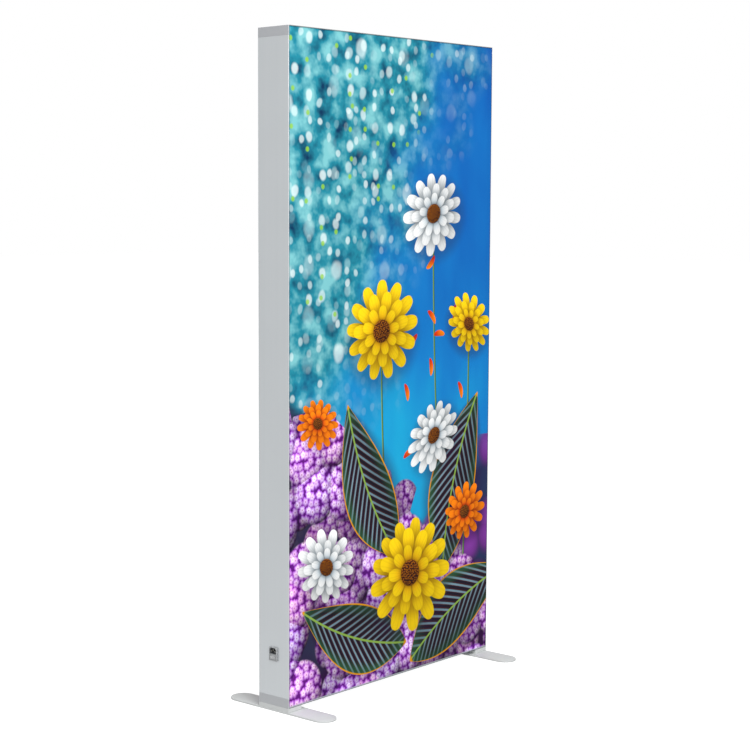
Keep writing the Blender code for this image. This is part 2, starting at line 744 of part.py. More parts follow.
def rising_end(side, sign, run_y):
    """The last points of an LED lead: along the rail, round the corner, up the upright and into the plug."""
    radius = LED_LEAD_DIAMETER / 2
    lie = PROFILE_HEIGHT + GAP + radius
    rail_z = level_z("bottom", lie)
    wall_x = side_x(side, lie)
    way = SIDES[side]
    end = led_plug_place(side)
    return [
        Vector((wall_x - way * 2 * LEAD_BEND, run_y, rail_z)),
        Vector((wall_x - way * LEAD_BEND, (run_y + sign * RISE_OFFSET) / 2, rail_z)),
        Vector((wall_x, sign * RISE_OFFSET, rail_z + LEAD_BEND)),
        Vector((wall_x, sign * RISE_OFFSET, rail_z + 2 * LEAD_BEND)),
        Vector((wall_x, sign * RISE_OFFSET, end.z - 3 * LEAD_BEND)),
        Vector((wall_x, sign * RISE_OFFSET, end.z - 2 * LEAD_BEND)),
        Vector((end.x, 0, end.z - LEAD_STRAIGHT)),
        end,
    ]


def led_lead_left():
    """Out of the driver, back beside it and up the left profile."""
    radius = LED_LEAD_DIAMETER / 2
    rail_z = level_z("bottom", PROFILE_HEIGHT + GAP + radius)
    start = Vector((DRIVER_RIGHT + GAP, LED_LEAD_OFFSET, DRIVER_BASE + DRIVER_HEIGHT / 2))
    step = Vector((LEAD_STRAIGHT, 0, 0))
    drop = (start.z - rail_z) / 2
    far = start + 2 * step + Vector((0, (SIDE_RUN_OFFSET - LED_LEAD_OFFSET) / 2, -drop))
    back = Vector((DRIVER_RIGHT, SIDE_RUN_OFFSET, rail_z))
    middle = Vector((DRIVER_LEFT + DRIVER_LENGTH / 2, SIDE_RUN_OFFSET, rail_z))
    route = [start, start + step, far, back + step, back, middle]
    lead("led_lead_left", LED_LEAD_DIAMETER, route + rising_end("left", 1, SIDE_RUN_OFFSET))


def led_lead_right():
    """Out of the driver, along the bottom profile under its clips and up the right profile."""
    radius = LED_LEAD_DIAMETER / 2
    rail_z = level_z("bottom", PROFILE_HEIGHT + GAP + radius)
    start = Vector((DRIVER_RIGHT + GAP, -LED_LEAD_OFFSET, DRIVER_BASE + DRIVER_HEIGHT / 2))
    step = Vector((LEAD_STRAIGHT, 0, 0))
    bend = Vector((LEAD_BEND, 0, 0))
    down = Vector((start.x, -RISE_OFFSET, rail_z)) + step
    clips = [Vector((clip_x(name), -RISE_OFFSET, rail_z)) for name in CLIP_PLACE_SHARES]
    route = [start, start + step, down + 2 * bend, down + 3 * bend, *clips]
    lead("led_lead_right", LED_LEAD_DIAMETER, route + rising_end("right", -1, -RISE_OFFSET))


def clip_x(name):
    return CLIP_PLACE_SHARES[name] * HALF_WIDTH


def lead_clip(name):
    """A saddle over the right LED lead, with a flange on each side of it."""
    base = level_z("bottom", PROFILE_HEIGHT + GAP)
    inner = LED_LEAD_DIAMETER / 2 + GAP
    outer = inner + CLIP_WALL
    rise = LED_LEAD_DIAMETER / 2
    arc = [math.pi * i / (2 * ARC_STEPS) for i in range(2 * ARC_STEPS + 1)]
    outline = [(outer + CLIP_FLANGE, 0), (outer + CLIP_FLANGE, CLIP_WALL), (outer, CLIP_WALL)]
    outline += [(outer * math.cos(t), rise + outer * math.sin(t)) for t in arc]
    outline += [(-outer, CLIP_WALL), (-outer - CLIP_FLANGE, CLIP_WALL)]
    outline += [(-outer - CLIP_FLANGE, 0), (-inner, 0)]
    outline += [(inner * math.cos(t), rise + inner * math.sin(t)) for t in reversed(arc)]
    outline += [(inner, 0)]
    placed = [(across - RISE_OFFSET, base + up) for across, up in outline]
    middle = clip_x(name)
    clip = prism(f"lead_clip_{name}", "X", placed, middle - CLIP_LENGTH / 2, middle + CLIP_LENGTH / 2)
    return dress(clip, "clip")


# Power inlet

def panel_opening(frame):
    """The openings in the left profile for the inlet's body and for the boot behind it."""
    profile = frame["left_profile"]
    half = FLANGE_WIDTH / 2 - FLANGE_LAP + GAP
    rise = FLANGE_HEIGHT / 2 - FLANGE_LAP + GAP
    x = (side_x("left", -OVERRUN), side_x("left", WEB_PLACE + WALL + OVERRUN))
    cut(profile, block("inlet_opening", x, (-half, half), (INLET_Z - rise, INLET_Z + rise)))
    half = BOOT_WIDTH / 2 + BOOT_CLEARANCE
    rise = BOOT_HEIGHT / 2 + BOOT_CLEARANCE
    x = (side_x("left", CHANNEL_FLOOR - WALL - OVERRUN), side_x("left", PROFILE_HEIGHT + OVERRUN))
    cut(profile, block("boot_opening", x, (-half, half), (SOCKET_Z - rise, SOCKET_Z + rise)))


def socket_outline(margin):
    """The socket's mouth grown by a margin, as (Y, Z): a rectangle whose two upper corners are cut off."""
    half = SOCKET_WIDTH / 2 + margin
    rise = SOCKET_HEIGHT / 2 + margin
    lost = SOCKET_CUT_CORNER + margin * (2 - math.sqrt(2))
    return [
        (-half, SOCKET_Z - rise),
        (half, SOCKET_Z - rise),
        (half, SOCKET_Z + rise - lost),
        (half - lost, SOCKET_Z + rise),
        (lost - half, SOCKET_Z + rise),
        (-half, SOCKET_Z + rise - lost),
    ]


def inlet_housing():
    """The grey moulding: a flange on the panel, a body behind it, a socket window and the rocker's well."""
    outer_x = -HALF_WIDTH - FLANGE_PROUD
    back_x = INLET_BODY_DEPTH - HALF_WIDTH
    flange = rounded_rectangle((0, INLET_Z), FLANGE_WIDTH, FLANGE_HEIGHT, FLANGE_CORNER)
    housing = bevel(prism("inlet_housing", "X", flange, outer_x, -HALF_WIDTH - GAP), FLANGE_BEVEL)
    half = FLANGE_WIDTH / 2 - FLANGE_LAP
    rise = FLANGE_HEIGHT / 2 - FLANGE_LAP
    body_x = (-HALF_WIDTH - GAP - WELD_OVERLAP, back_x)
    join(housing, block("inlet_body", body_x, (-half, half), (INLET_Z - rise, INLET_Z + rise)))
    window = socket_outline(SOCKET_WALL + GAP)
    cut(housing, prism("socket_window", "X", window, outer_x - OVERRUN, back_x + OVERRUN))
    well = ROCKER_RADIUS + GAP
    well_rise = ROCKER_WIDTH / 2 + GAP
    well_x = (outer_x - OVERRUN, PIVOT_X + WELL_FLOOR_DEPTH)
    cut(housing, block("rocker_well", well_x, (-well, well), (ROCKER_Z - well_rise, ROCKER_Z + well_rise)))
    reach = well_rise + PIVOT_REACH
    steps = rod_steps(PIVOT_RADIUS + GAP, ROCKER_Z - reach - GAP, ROCKER_Z + reach + GAP)
    cut(housing, turned("pivot_seats", "Z", (PIVOT_X, 0), steps))
    return dress(housing, "inlet_grey")


def pin_places():
    """Each contact pin's middle, as (Y, Z)."""
    line_z = SOCKET_Z - LINE_PIN_DROP
    return {
        "line": (-PIN_SPACING / 2, line_z),
        "neutral": (PIN_SPACING / 2, line_z),
        "earth": (0, SOCKET_Z + EARTH_PIN_RISE),
    }


def pin_outline(centre, margin):
    half = PIN_WIDTH / 2 + margin
    rise = PIN_HEIGHT / 2 + margin
    return rectangle((centre[0] - half, centre[0] + half), (centre[1] - rise, centre[1] + rise))


def socket_insert():
    """The black cup that a mains connector pushes into."""
    mouth = -HALF_WIDTH - FLANGE_PROUD + SOCKET_SET_BACK
    back = SOCKET_FLOOR_X + SOCKET_FLOOR_WALL
    cup = prism("socket_insert", "X", socket_outline(SOCKET_WALL), mouth, back)
    cut(cup, prism("socket_recess", "X", socket_outline(0), mouth - OVERRUN, SOCKET_FLOOR_X))
    for name, centre in pin_places().items():
        slot = pin_outline(centre, GAP)
        cut(cup, prism(f"{name}_pin_slot", "X", slot, SOCKET_FLOOR_X - OVERRUN, back + OVERRUN))
    return dress(cup, "socket_black")


def contact_pin(name, centre):
    """A flat blade from just inside the socket's mouth to the boot behind it."""
    tip = -HALF_WIDTH - FLANGE_PROUD + SOCKET_SET_BACK + PIN_SET_BACK
    pin = prism(f"{name}_pin", "X", pin_outline(centre, 0), tip, PIN_END_X)
    return dress(pin, "pin_metal")


def terminal_boot():
    """The insulated block that joins the pins to the mains lead."""
    x = (PIN_END_X + GAP, BOOT_END_X)
    half = BOOT_WIDTH / 2
    rise = BOOT_HEIGHT / 2
    boot = block("terminal_boot", x, (-half, half), (SOCKET_Z - rise, SOCKET_Z + rise))
    return dress(boot, "clip")


def rocker_outline():
    """The rocker side-on, as (X from its axis, Y): a shallow V on top and ends that follow its turn."""
    crest_turn = math.asin(ROCKER_CREST / ROCKER_RADIUS)
    skirt_turn = -math.asin(ROCKER_SKIRT / ROCKER_RADIUS)
    turns = [crest_turn + (skirt_turn - crest_turn) * i / ARC_STEPS for i in range(ARC_STEPS + 1)]
    end = [(ROCKER_RADIUS * math.sin(turn), ROCKER_RADIUS * math.cos(turn)) for turn in turns]
    right = end + [(-ROCKER_HUB, ROCKER_HUB_HALF_WIDTH)]
    left = [(up, -across) for up, across in reversed(right)]
    crease = [(PIVOT_DEPTH + ROCKER_LIFT, 0)]
    return [(-up, across) for up, across in crease + right + left]


def rocker():
    """The switch's rocker, drawn level and then turned about its axis to rest with its front half pressed."""
    outline = [(PIVOT_X + x, y) for x, y in rocker_outline()]
    half = ROCKER_WIDTH / 2
    centre = (PIVOT_X, 0, ROCKER_Z)
    obj = prism("rocker_switch", "Z", outline, ROCKER_Z - half, ROCKER_Z + half, origin=centre)
    reach = half + OVERRUN
    steps = rod_steps(PIVOT_RADIUS + GAP, ROCKER_Z - reach, ROCKER_Z + reach)
    cut(obj, turned("rocker_bore", "Z", (PIVOT_X, 0), steps))
    obj.rotation_euler = (0, 0, ROCKER_TILT)
    return dress(obj, "rocker_grey")


def rocker_pivot():
    """The pin through the rocker, held in the well's side walls."""
    reach = ROCKER_WIDTH / 2 + GAP + PIVOT_REACH
    steps = rod_steps(PIVOT_RADIUS, ROCKER_Z - reach, ROCKER_Z + reach)
    return dress(turned("rocker_pivot", "Z", (PIVOT_X, 0), steps), "steel")


# Feet

def foot_middle_x(side):
    return SIDES[side] * (HALF_WIDTH - FOOT_WIDTH / 2)


def block_middle_x(side):
    return SIDES[side] * (HALF_WIDTH - BLOCK_WIDTH / 2)


def bolt_places(side):
    return {face: (block_middle_x(side), sign * BOLT_SPACING / 2) for face, sign in FACES.items()}


def foot_plate(side):
    """A flat steel bar with round ends, sunk from below for its two bolts."""
    radius = FOOT_WIDTH / 2
    run = FOOT_LENGTH / 2 - radius
    middle = foot_middle_x(side)
    outline = []
    for i in range(HALF_ROUND_STEPS + 1):
        turn = math.pi * i / HALF_ROUND_STEPS
        outline.append((middle + radius * math.cos(turn), run + radius * math.sin(turn)))
    outline += [(2 * middle - x, -y) for x, y in outline]
    plate = bevel(prism(f"foot_plate_{side}", "Z", outline, 0, FOOT_THICKNESS), FOOT_BEVEL)
    for face, centre in bolt_places(side).items():
        head = BOLT_HEAD_RADIUS + GAP
        bore = BOLT_RADIUS + GAP
        sink_end = SINK_DEPTH + BOLT_HEAD_HEIGHT + GAP
        steps = [
            (0, -OVERRUN),
            (head, -OVERRUN),
            (head, SINK_DEPTH + BOLT_RIM + GAP),
            (bore, sink_end),
            (bore, FOOT_THICKNESS + OVERRUN),
            (0, FOOT_THICKNESS + OVERRUN),
        ]
        cut(plate, turned(f"foot_plate_{side}_{face}_hole", "Z", centre, steps, BOLT_SIDES))
    return dress(plate, "powder_coat")


def foot_block(side, frame):
    """The stand-off between a foot plate and the bottom profile, with the two bolt holes."""
    low = FOOT_THICKNESS + GAP
    high = low + BLOCK_HEIGHT
    inner = HALF_WIDTH - BLOCK_WIDTH
    x = (SIDES[side] * inner, SIDES[side] * HALF_WIDTH)
    stand = bevel(block(f"foot_block_{side}", x, (-HALF_DEPTH, HALF_DEPTH), (low, high)), BLOCK_BEVEL)
    for face, centre in bolt_places(side).items():
        steps = rod_steps(BOLT_RADIUS + GAP, low - OVERRUN, FRAME_BASE + WALL + OVERRUN)
        hole = turned(f"foot_block_{side}_{face}_hole", "Z", centre, steps, BOLT_SIDES)
        cut(stand, hole)
        cut(frame["bottom_profile"], hole)
    return dress(stand, "powder_coat")


def foot_bolt(side, face, centre):
    """A countersunk bolt from below, through the plate and block into the bottom profile."""
    foot = SINK_DEPTH
    steps = [
        (0, foot + BOLT_SOCKET_DEPTH),
        (BOLT_SOCKET_RADIUS, foot + BOLT_SOCKET_DEPTH),
        (BOLT_SOCKET_RADIUS, foot),
        (BOLT_HEAD_RADIUS, foot),
        (BOLT_HEAD_RADIUS, foot + BOLT_RIM),
        (BOLT_RADIUS, foot + BOLT_HEAD_HEIGHT),
        (BOLT_RADIUS, FRAME_BASE + WALL + BOLT_GRIP),
        (0, FRAME_BASE + WALL + BOLT_GRIP),
    ]
    return dress(turned(f"foot_bolt_{side}_{face}", "Z", centre, steps, BOLT_SIDES), "steel")


# Putting it together

def build_frame():
    frame = {f"{side}_profile": upright(side) for side in SIDES}
    frame.update({f"{level}_profile": rail(level) for level in LEVELS})
    for level in LEVELS:
        for side in SIDES:
            end_cap(level, side)
            corner_bracket(level, side, frame)
    crossbar()
    for side in SIDES:
        crossbar_bracket(side)
    return frame


def build_graphics():
    for face in FACES:
        graphic(face)
        for edge in (*SIDES, *LEVELS):
            bead(face, edge)


def build_light():
    for side in SIDES:
        led_bar(side)
    driver_case()
    driver_cover()
    driver_board()
    mains_lead()
    led_lead_left()
    led_lead_right()
    for name in CLIP_PLACE_SHARES:
        lead_clip(name)


def build_inlet(frame):
    panel_opening(frame)
    inlet_housing()
    socket_insert()
    for name, centre in pin_places().items():
        contact_pin(name, centre)
    terminal_boot()
    rocker()
    rocker_pivot()


def build_feet(frame):
    for side in SIDES:
        foot_plate(side)
        foot_block(side, frame)
        for face, centre in bolt_places(side).items():
            foot_bolt(side, face, centre)


def main():
    clear_scene()
    frame = build_frame()
    build_graphics()
    build_light()
    build_inlet(frame)
    build_feet(frame)


main()
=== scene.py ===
"""Looks of a free-standing lightbox display wall: its finishes, the stretched printed fabric, the inlet's
moulding, the rocker, the feet, and the stage it is shown on.

Metres, +Z up. X runs along the width, Y through the depth with the front at -Y, and the floor is at 0.
"""

import math
from typing import NamedTuple

import bmesh
import bpy
from mathutils import Matrix, Vector


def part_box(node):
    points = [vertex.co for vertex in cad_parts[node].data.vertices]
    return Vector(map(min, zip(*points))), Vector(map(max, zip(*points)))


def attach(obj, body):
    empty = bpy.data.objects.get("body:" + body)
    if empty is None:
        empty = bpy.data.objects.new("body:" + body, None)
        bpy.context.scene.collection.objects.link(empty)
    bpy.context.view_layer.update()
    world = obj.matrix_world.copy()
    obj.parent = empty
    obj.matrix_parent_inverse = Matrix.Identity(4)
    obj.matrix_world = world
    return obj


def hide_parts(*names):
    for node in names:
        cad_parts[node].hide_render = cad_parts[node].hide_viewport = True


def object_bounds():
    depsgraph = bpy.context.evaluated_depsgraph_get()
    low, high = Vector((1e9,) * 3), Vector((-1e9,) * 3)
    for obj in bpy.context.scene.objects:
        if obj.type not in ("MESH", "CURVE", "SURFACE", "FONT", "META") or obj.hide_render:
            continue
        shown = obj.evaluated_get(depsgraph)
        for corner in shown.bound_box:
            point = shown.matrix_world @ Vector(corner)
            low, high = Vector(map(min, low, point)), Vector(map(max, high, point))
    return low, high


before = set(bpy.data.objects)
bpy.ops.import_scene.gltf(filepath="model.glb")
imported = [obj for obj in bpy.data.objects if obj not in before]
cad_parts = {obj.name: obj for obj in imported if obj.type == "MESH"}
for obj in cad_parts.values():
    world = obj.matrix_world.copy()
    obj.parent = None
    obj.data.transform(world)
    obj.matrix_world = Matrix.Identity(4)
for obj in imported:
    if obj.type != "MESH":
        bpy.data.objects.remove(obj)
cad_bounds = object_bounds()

bl_info = {
    "name": "Lightbox Display Wall",
    "version": (1, 0, 0),
    "blender": (4, 5, 0),
    "location": "3D View > Sidebar > Lightbox",
    "description": "Dresses a lightbox display wall and sets its stage",
    "category": "Object",
}

FRAME_BODY = "frame"
ROCKER_BODY = "rocker"
SIDES = {"left": -1, "right": 1}
FACES = {"front": -1, "back": 1}
EDGES = ("left", "right", "bottom", "top")

# Fabric
FABRIC_THICKNESS = 0.0004
FABRIC_WELD = 0.00001      # distance at which two of its corners are one
FOLD_RADIUS = 0.0006       # of the fabric where it turns into the groove
FOLD_STEPS = 4
FABRIC_SAG = 0.0004        # of the panel's middle, inwards
FABRIC_CELLS = (30, 60)    # across and up

# Inlet
MOULD_GAP = 0.0003
OVERRUN = 0.002
WELD = 0.0006
FLANGE_THICKNESS = 0.0042
FLANGE_CORNER = 0.0026
FLANGE_EDGE = 0.0009
BODY_INSET = 0.0014        # of the body behind the panel from the flange's edge
COLLAR_WIDTH = 0.0013      # raised rim round the socket and round the rocker
COLLAR_PROUD = 0.0004
COLLAR_EDGE = 0.0002
WELL_FLOOR = 0.0048        # below the rocker's axis
SOCKET_CORNER = 0.0048     # cut off the socket's two upper corners
SOCKET_WALL = 0.0008
SEAT_REACH = 0.0028        # of the pivot's seats into the well's walls

# Rocker
ROCKER_HALF_LENGTH = 0.0088
ROCKER_WIDTH = 0.010
ROCKER_CREASE = 0.0053     # of its middle above its axis
ROCKER_TILT = math.radians(12)
ROCKER_SKIRT = 0.0015
ROCKER_HUB = 0.0032
ROCKER_HUB_HALF_WIDTH = 0.003
ROCKER_EDGE = 0.0005
MARK_THICKNESS = 0.00012
MARK_HEIGHT = 0.0034
MARK_STROKE = 0.0006
MARK_CORNER = 0.0002
MARK_PLACE_SHARE = 0.55    # of the way out from the crease
ROCKER_CREST = ROCKER_CREASE + ROCKER_HALF_LENGTH * math.tan(ROCKER_TILT)
ROCKER_RADIUS = math.hypot(ROCKER_HALF_LENGTH, ROCKER_CREST)
WELL_HALF_LENGTH = ROCKER_RADIUS + MOULD_GAP
WELL_HALF_WIDTH = ROCKER_WIDTH / 2 + MOULD_GAP
WINDOW_MARGIN = SOCKET_WALL + MOULD_GAP

# Feet
FOOT_EDGE = 0.0009
SINK_RIM = 0.0012
SINK_DEPTH = 0.0048
BOLT_RADIUS = 0.004

# Steps and angles of the round shapes
HALF_ROUND_STEPS = 48
ARC_STEPS = 12
CORNER_STEPS = 8
EDGE_STEPS = 3
SOFT_EDGE_STEPS = 2
ROUND_SIDES = 48
ROUND_PROFILE = 0.5
QUARTER_TURN = math.pi / 2
SMOOTH_ANGLE = math.radians(35)
SOFT_EDGE_ANGLE = math.radians(60)

# Screen colours
SCREEN_MOST = 255
SCREEN_GAMMA = 2.2

# Finishes. A tone or a roughness in two numbers is its least and its most
ALUMINIUM_METALLIC = 0.7
ALUMINIUM_TONES = (0.05, 0.06, 0.05)    # shares of its lines, bands and clouds
ALUMINIUM_ROUGHNESS = 0.34
BAND_ROUGHNESS = 0.10
LINE_ROUGHNESS = 0.08
# share of the painted highlight on the lips
LIP_SHARE = 0.55
# share of the painted shade on the lips at the frame's top and bottom
PAINTED_EDGE_SHADE_SHARE = 0.9
PLATE_TINT_SHARE = 0.35
PLATE_TONE = (0.86, 1.06)
PLATE_ROUGHNESS = (0.26, 0.40)
SHEET_METALLIC = 0.9
SHEET_TONE = (0.88, 1.08)
SHEET_ROUGHNESS = (0.28, 0.53)
COAT_SPECULAR = 0.2
COAT_TONES = (0.04, 0.05)               # shares of its clouds and specks
COAT_ROUGHNESS = (0.36, 0.56)
PLASTIC_TONES = (0.08, 0.07)            # shares of its grain and flow marks
PLASTIC_FLOW = (1.0, 1.0, 0.35)         # scale of its flow marks along each axis
PLASTIC_ROUGHNESS = 0.5
SATIN_ROUGHNESS = 0.42                  # of the silicone and the inlet
GLOSS_ROUGHNESS = 0.36                  # of the socket and the rocker
MARK_ROUGHNESS = 0.4
GRAIN_ROUGHNESS = 0.16
TRACK_SHARE = 0.35
MASK_TONE = (0.94, 1.03)
LED_BOARD_ROUGHNESS = (0.5, 0.15)       # of its mask and of its lenses
DRIVER_TONE = (0.85, 1.1)
DRIVER_ROUGHNESS = (0.35, 0.55)
SHEATH_TONE = (0.92, 1.03)
SHEATH_ROUGHNESS = (0.42, 0.62)

# Parts along the driver's board: terminal, capacitors, transformer and terminal, with gaps between them
PART_GREEN = (0.03, 0.22, 0.09)
PART_BLUE = (0.02, 0.04, 0.12)
PART_AMBER = (0.62, 0.40, 0.06)
PART_DARK = (0.03, 0.03, 0.03)
PART_PLACES = (0.0, 0.12, 0.14, 0.48, 0.50, 0.55, 0.78, 0.80, 0.88, 1.0)
PART_COLOURS = (
    PART_GREEN, PART_GREEN, PART_BLUE, PART_BLUE, PART_DARK,
    PART_AMBER, PART_AMBER, PART_DARK, PART_GREEN, PART_GREEN,
)


def ink(red, green, blue):
    """A scene colour from a screen colour."""
    return tuple((part / SCREEN_MOST) ** SCREEN_GAMMA for part in (red, green, blue))


def node_names(*starts, ends=()):
    """The CAD nodes whose names start or end in one of these ways."""
    return [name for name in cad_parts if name.startswith(starts) or name.endswith(ends)]


# Patterns for the materials

class Fade(NamedTuple):
    """A smooth step in a value: where it starts, where it ends, and the share that it ends with."""

    start: float
    end: float
    share: float = 1.0

    def times(self, size):
        """The same step for a motif of another size."""
        return Fade(self.start * size, self.end * size, self.share)


class Slope(NamedTuple):
    """A value that changes steadily across and up, from its level in the middle."""

    across: float
    up: float
    level: float

    def at(self, run, rise):
        return rise * self.up + run * self.across + self.level


class Cloud(NamedTuple):
    """A soft noise: its patches for each metre, its scale along each axis, its detail and its share."""

    per_metre: float
    stretch: tuple = (1.0, 1.0, 1.0)
    detail: float = 2.0
    share: float = 1.0


TRACK_EDGE = Fade(0.80, 0.95)
MIX_INPUTS = {"VECTOR": (0, 4, 5), "RGBA": (0, 6, 7)}    # numbers of the share, the first and the second
MIX_OUTPUTS = {"VECTOR": 1, "RGBA": 2}


def math_step(operation):
    """A method that works a value, and any others that it is given, into one with a math node."""
    def method(self, *others):
        node = self.tree.node("ShaderNodeMath", self, *others, operation=operation)
        return Value(self.tree, node.outputs[0])
    return method


class Value:
    """A number that varies over a surface, with the sums that shader nodes can do."""

    __add__ = __radd__ = math_step("ADD")
    __sub__ = math_step("SUBTRACT")
    __mul__ = __rmul__ = math_step("MULTIPLY")
    __truediv__ = math_step("DIVIDE")
    times_plus = math_step("MULTIPLY_ADD")
    root = math_step("SQRT")
    size = math_step("ABSOLUTE")
    sine = math_step("SINE")
    cosine = math_step("COSINE")
    power = math_step("POWER")
    wrapped = math_step("FRACT")         # its part after the point
    at_least = math_step("MAXIMUM")
    at_most = math_step("MINIMUM")
    above = math_step("GREATER_THAN")    # 1 where it is above the other, and 0 elsewhere
    turn_from = math_step("ARCTAN2")     # the angle of a place with this rise and the other's run

    def __init__(self, tree, socket):
        self.tree = tree
        self.socket = socket

    def __rsub__(self, other):
        return self.times_plus(-1, other)

    def span(self, least, most):
        """Stretches 0 to 1 over another span."""
        return self * (most - least) + least

    def ease(self, start, end, share=1.0):
        """0 before a smooth step, and its share after it."""
        node = self.tree.node(
            "ShaderNodeMapRange", self, start, end, 0.0, share, interpolation_type="SMOOTHSTEP"
        )
        return Value(self.tree, node.outputs[0])


def reach_of(run, rise):
    """How far out a place lies that is this far across and up."""
    return (run * run + rise * rise).root()


class Tree:
    """A node tree, with short ways to add its nodes and to feed them."""

    def __init__(self, tree):
        self.nodes = tree.nodes
        self.links = tree.links

    def node(self, kind, *values, **settings):
        """Adds a node with these settings, and feeds its first inputs."""
        made = self.nodes.new(kind)
        for name, value in settings.items():
            setattr(made, name, value)
        for socket, value in zip(made.inputs, values):
            self.feed(socket, value)
        return made

    def feed(self, socket, value):
        """Gives a socket a number, a colour, or another node's output."""
        if isinstance(value, Value):
            value = value.socket
        if isinstance(value, bpy.types.NodeSocket):
            self.links.new(value, socket)
        elif hasattr(value, "__len__") and len(socket.default_value) > len(value):
            socket.default_value = (*value, 1)
        else:
            socket.default_value = value

    def feed_all(self, node, values):
        """Feeds a node's inputs by their names."""
        for name, value in values.items():
            self.feed(node.inputs[name], value)

    def seen_directly(self):
        """1 for a ray from the camera, and for one by way of metal or glass, and 0 for light on things."""
        path = self.node("ShaderNodeLightPath")
        kinds = ("Is Camera Ray", "Is Glossy Ray", "Is Transmission Ray")
        camera, glossy, clear = (Value(self, path.outputs[kind]) for kind in kinds)
        return camera.at_least(glossy).at_least(clear)


class Finish(Tree):
    """A material whose colour, roughness and relief come from patterns in metres on the piece."""

    def __init__(self, name, metallic=0.0, specular=0.5):
        self.material = bpy.data.materials.new(name)
        self.material.use_nodes = True
        super().__init__(self.material.node_tree)
        self.shader = self.nodes["Principled BSDF"]
        self.feed_all(self.shader, {"Metallic": metallic, "Specular IOR Level": specular})
        self.place = self.node("ShaderNodeTexCoord").outputs["Object"]

    def parts(self, vector):
        """A vector's X, Y and Z."""
        return [Value(self, output) for output in self.node("ShaderNodeSeparateXYZ", vector).outputs]

    def point(self, x, y, z=0.0):
        """A vector from three numbers."""
        return self.node("ShaderNodeCombineXYZ", x, y, z).outputs[0]

    def scaled(self, vector, shares):
        """A place with each axis scaled, for patterns that run along one."""
        return self.node("ShaderNodeVectorMath", vector, shares, operation="MULTIPLY").outputs[0]

    def length_of(self, vector):
        """How long a vector is."""
        return Value(self, self.node("ShaderNodeVectorMath", vector, operation="LENGTH").outputs[1])

    def noise(self, place, scale, detail=2.0):
        """Soft patches, from 0 to 1."""
        node = self.node("ShaderNodeTexNoise")
        self.feed_all(node, {"Vector": place, "Scale": scale, "Detail": detail})
        return Value(self, node.outputs[0])

    def cells(self, place, scale, spread=1.0):
        """Flat cells: the distance from each one's middle, a random number for each, and its middle."""
        node = self.node("ShaderNodeTexVoronoi", voronoi_dimensions="2D")
        self.feed_all(node, {"Vector": place, "Scale": scale, "Randomness": spread})
        chance = self.parts(node.outputs["Color"])[0]
        across, up, _ = self.parts(node.outputs["Position"])
        return Value(self, node.outputs["Distance"]), chance, (across, up)

    def between(self, kind, share, first, second, blend="MIX"):
        """A share of the way from one colour or vector to another."""
        node = self.node("ShaderNodeMix", data_type=kind, blend_type=blend)
        for number, value in zip(MIX_INPUTS[kind], (share, first, second)):
            self.feed(node.inputs[number], value)
        return node.outputs[MIX_OUTPUTS[kind]]

    def mix(self, share, first, second):
        """A colour that is a share of the way from one to another."""
        return self.between("RGBA", share, first, second)

    def pick(self, share, first, second):
        """One place or another."""
        return self.between("VECTOR", share, first, second)

    def tinted(self, colour, tint):
        """A colour times another."""
        return self.between("RGBA", 1.0, colour, tint, "MULTIPLY")

    def lit(self, colour, light):
        """A colour times a grey light."""
        return self.tinted(colour, self.point(light, light, light))

    def toned(self, colour, shares, *patterns):
        """A colour that each pattern makes darker and lighter by half its share."""
        light = 1 - sum(shares) / 2
        for pattern, share in zip(patterns, shares):
            light = pattern * share + light
        return self.lit(colour, light)

    def ramp(self, value, places, colours, steps=False):
        """A colour from a value, by smooth or by sudden changes between the places."""
        node = self.node("ShaderNodeValToRGB", value)
        node.color_ramp.interpolation = "CONSTANT" if steps else "LINEAR"
        elements = node.color_ramp.elements
        while len(elements) < len(colours):
            elements.new(1.0)
        for element, place, colour in zip(elements, places, colours):
            element.position = place
            element.color = (*colour, 1)
        return node.outputs[0]

    def shade(self, colour, roughness, relief, height):
        """Sets the shader's colour, roughness and relief, and returns the material."""
        bump = self.node("ShaderNodeBump")
        self.feed_all(bump, {"Distance": height, "Height": relief})
        self.feed_all(self.shader, {"Base Color": colour, "Roughness": roughness, "Normal": bump.outputs[0]})
        return self.material


# Metal finishes

def anodised(name, along, look):
    """Satin anodised extrusion: die lines along the bar, soft tone bands, a painted highlight along the lips
    beside the fabric, and painted shade on the lips at the frame's top and bottom edges.
    """
    finish = Finish(name, metallic=ALUMINIUM_METALLIC)
    stretch = [look.die_line_stretch if axis == along else 1.0 for axis in "XYZ"]
    drawn = finish.scaled(finish.place, stretch)
    lines = finish.noise(drawn, look.die_lines)
    bands = finish.noise(drawn, look.tone_bands)
    cloud = finish.noise(finish.place, look.tone_clouds)
    _, depth, height = finish.parts(finish.place)
    lip = depth.size().ease(look.lip_start, look.lip_end)
    colour = finish.toned(look.aluminium, ALUMINIUM_TONES, lines, bands, cloud)
    # painted highlight: the lips beside the fabric are lightened towards a paler colour
    colour = finish.mix(lip * LIP_SHARE, colour, look.lip_highlight)
    base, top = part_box("bottom_profile")[0].z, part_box("top_profile")[1].z
    # painted shade: a dark line on the lips along the frame's lowest and highest edges
    arris = height.ease(base + look.arris, base) + height.ease(top - look.arris, top)
    colour = finish.mix(lip * arris * PAINTED_EDGE_SHADE_SHARE, colour, look.painted_edge_shade)
    roughness = bands * BAND_ROUGHNESS + lines * LINE_ROUGHNESS + ALUMINIUM_ROUGHNESS
    return finish.shade(colour, roughness, lines, look.die_line_height)


def plated(name, colour, look):
    """Plated metal: a fine spangle with faint tint patches."""
    finish = Finish(name, metallic=1.0)
    distance, chance, _ = finish.cells(finish.place, look.spangle)
    grain = finish.noise(finish.place, look.fine_grain)
    colour = finish.mix(chance * PLATE_TINT_SHARE, colour, look.plate_tint)
    colour = finish.lit(colour, grain.span(*PLATE_TONE))
    return finish.shade(colour, chance.span(*PLATE_ROUGHNESS), distance, look.grain_height)


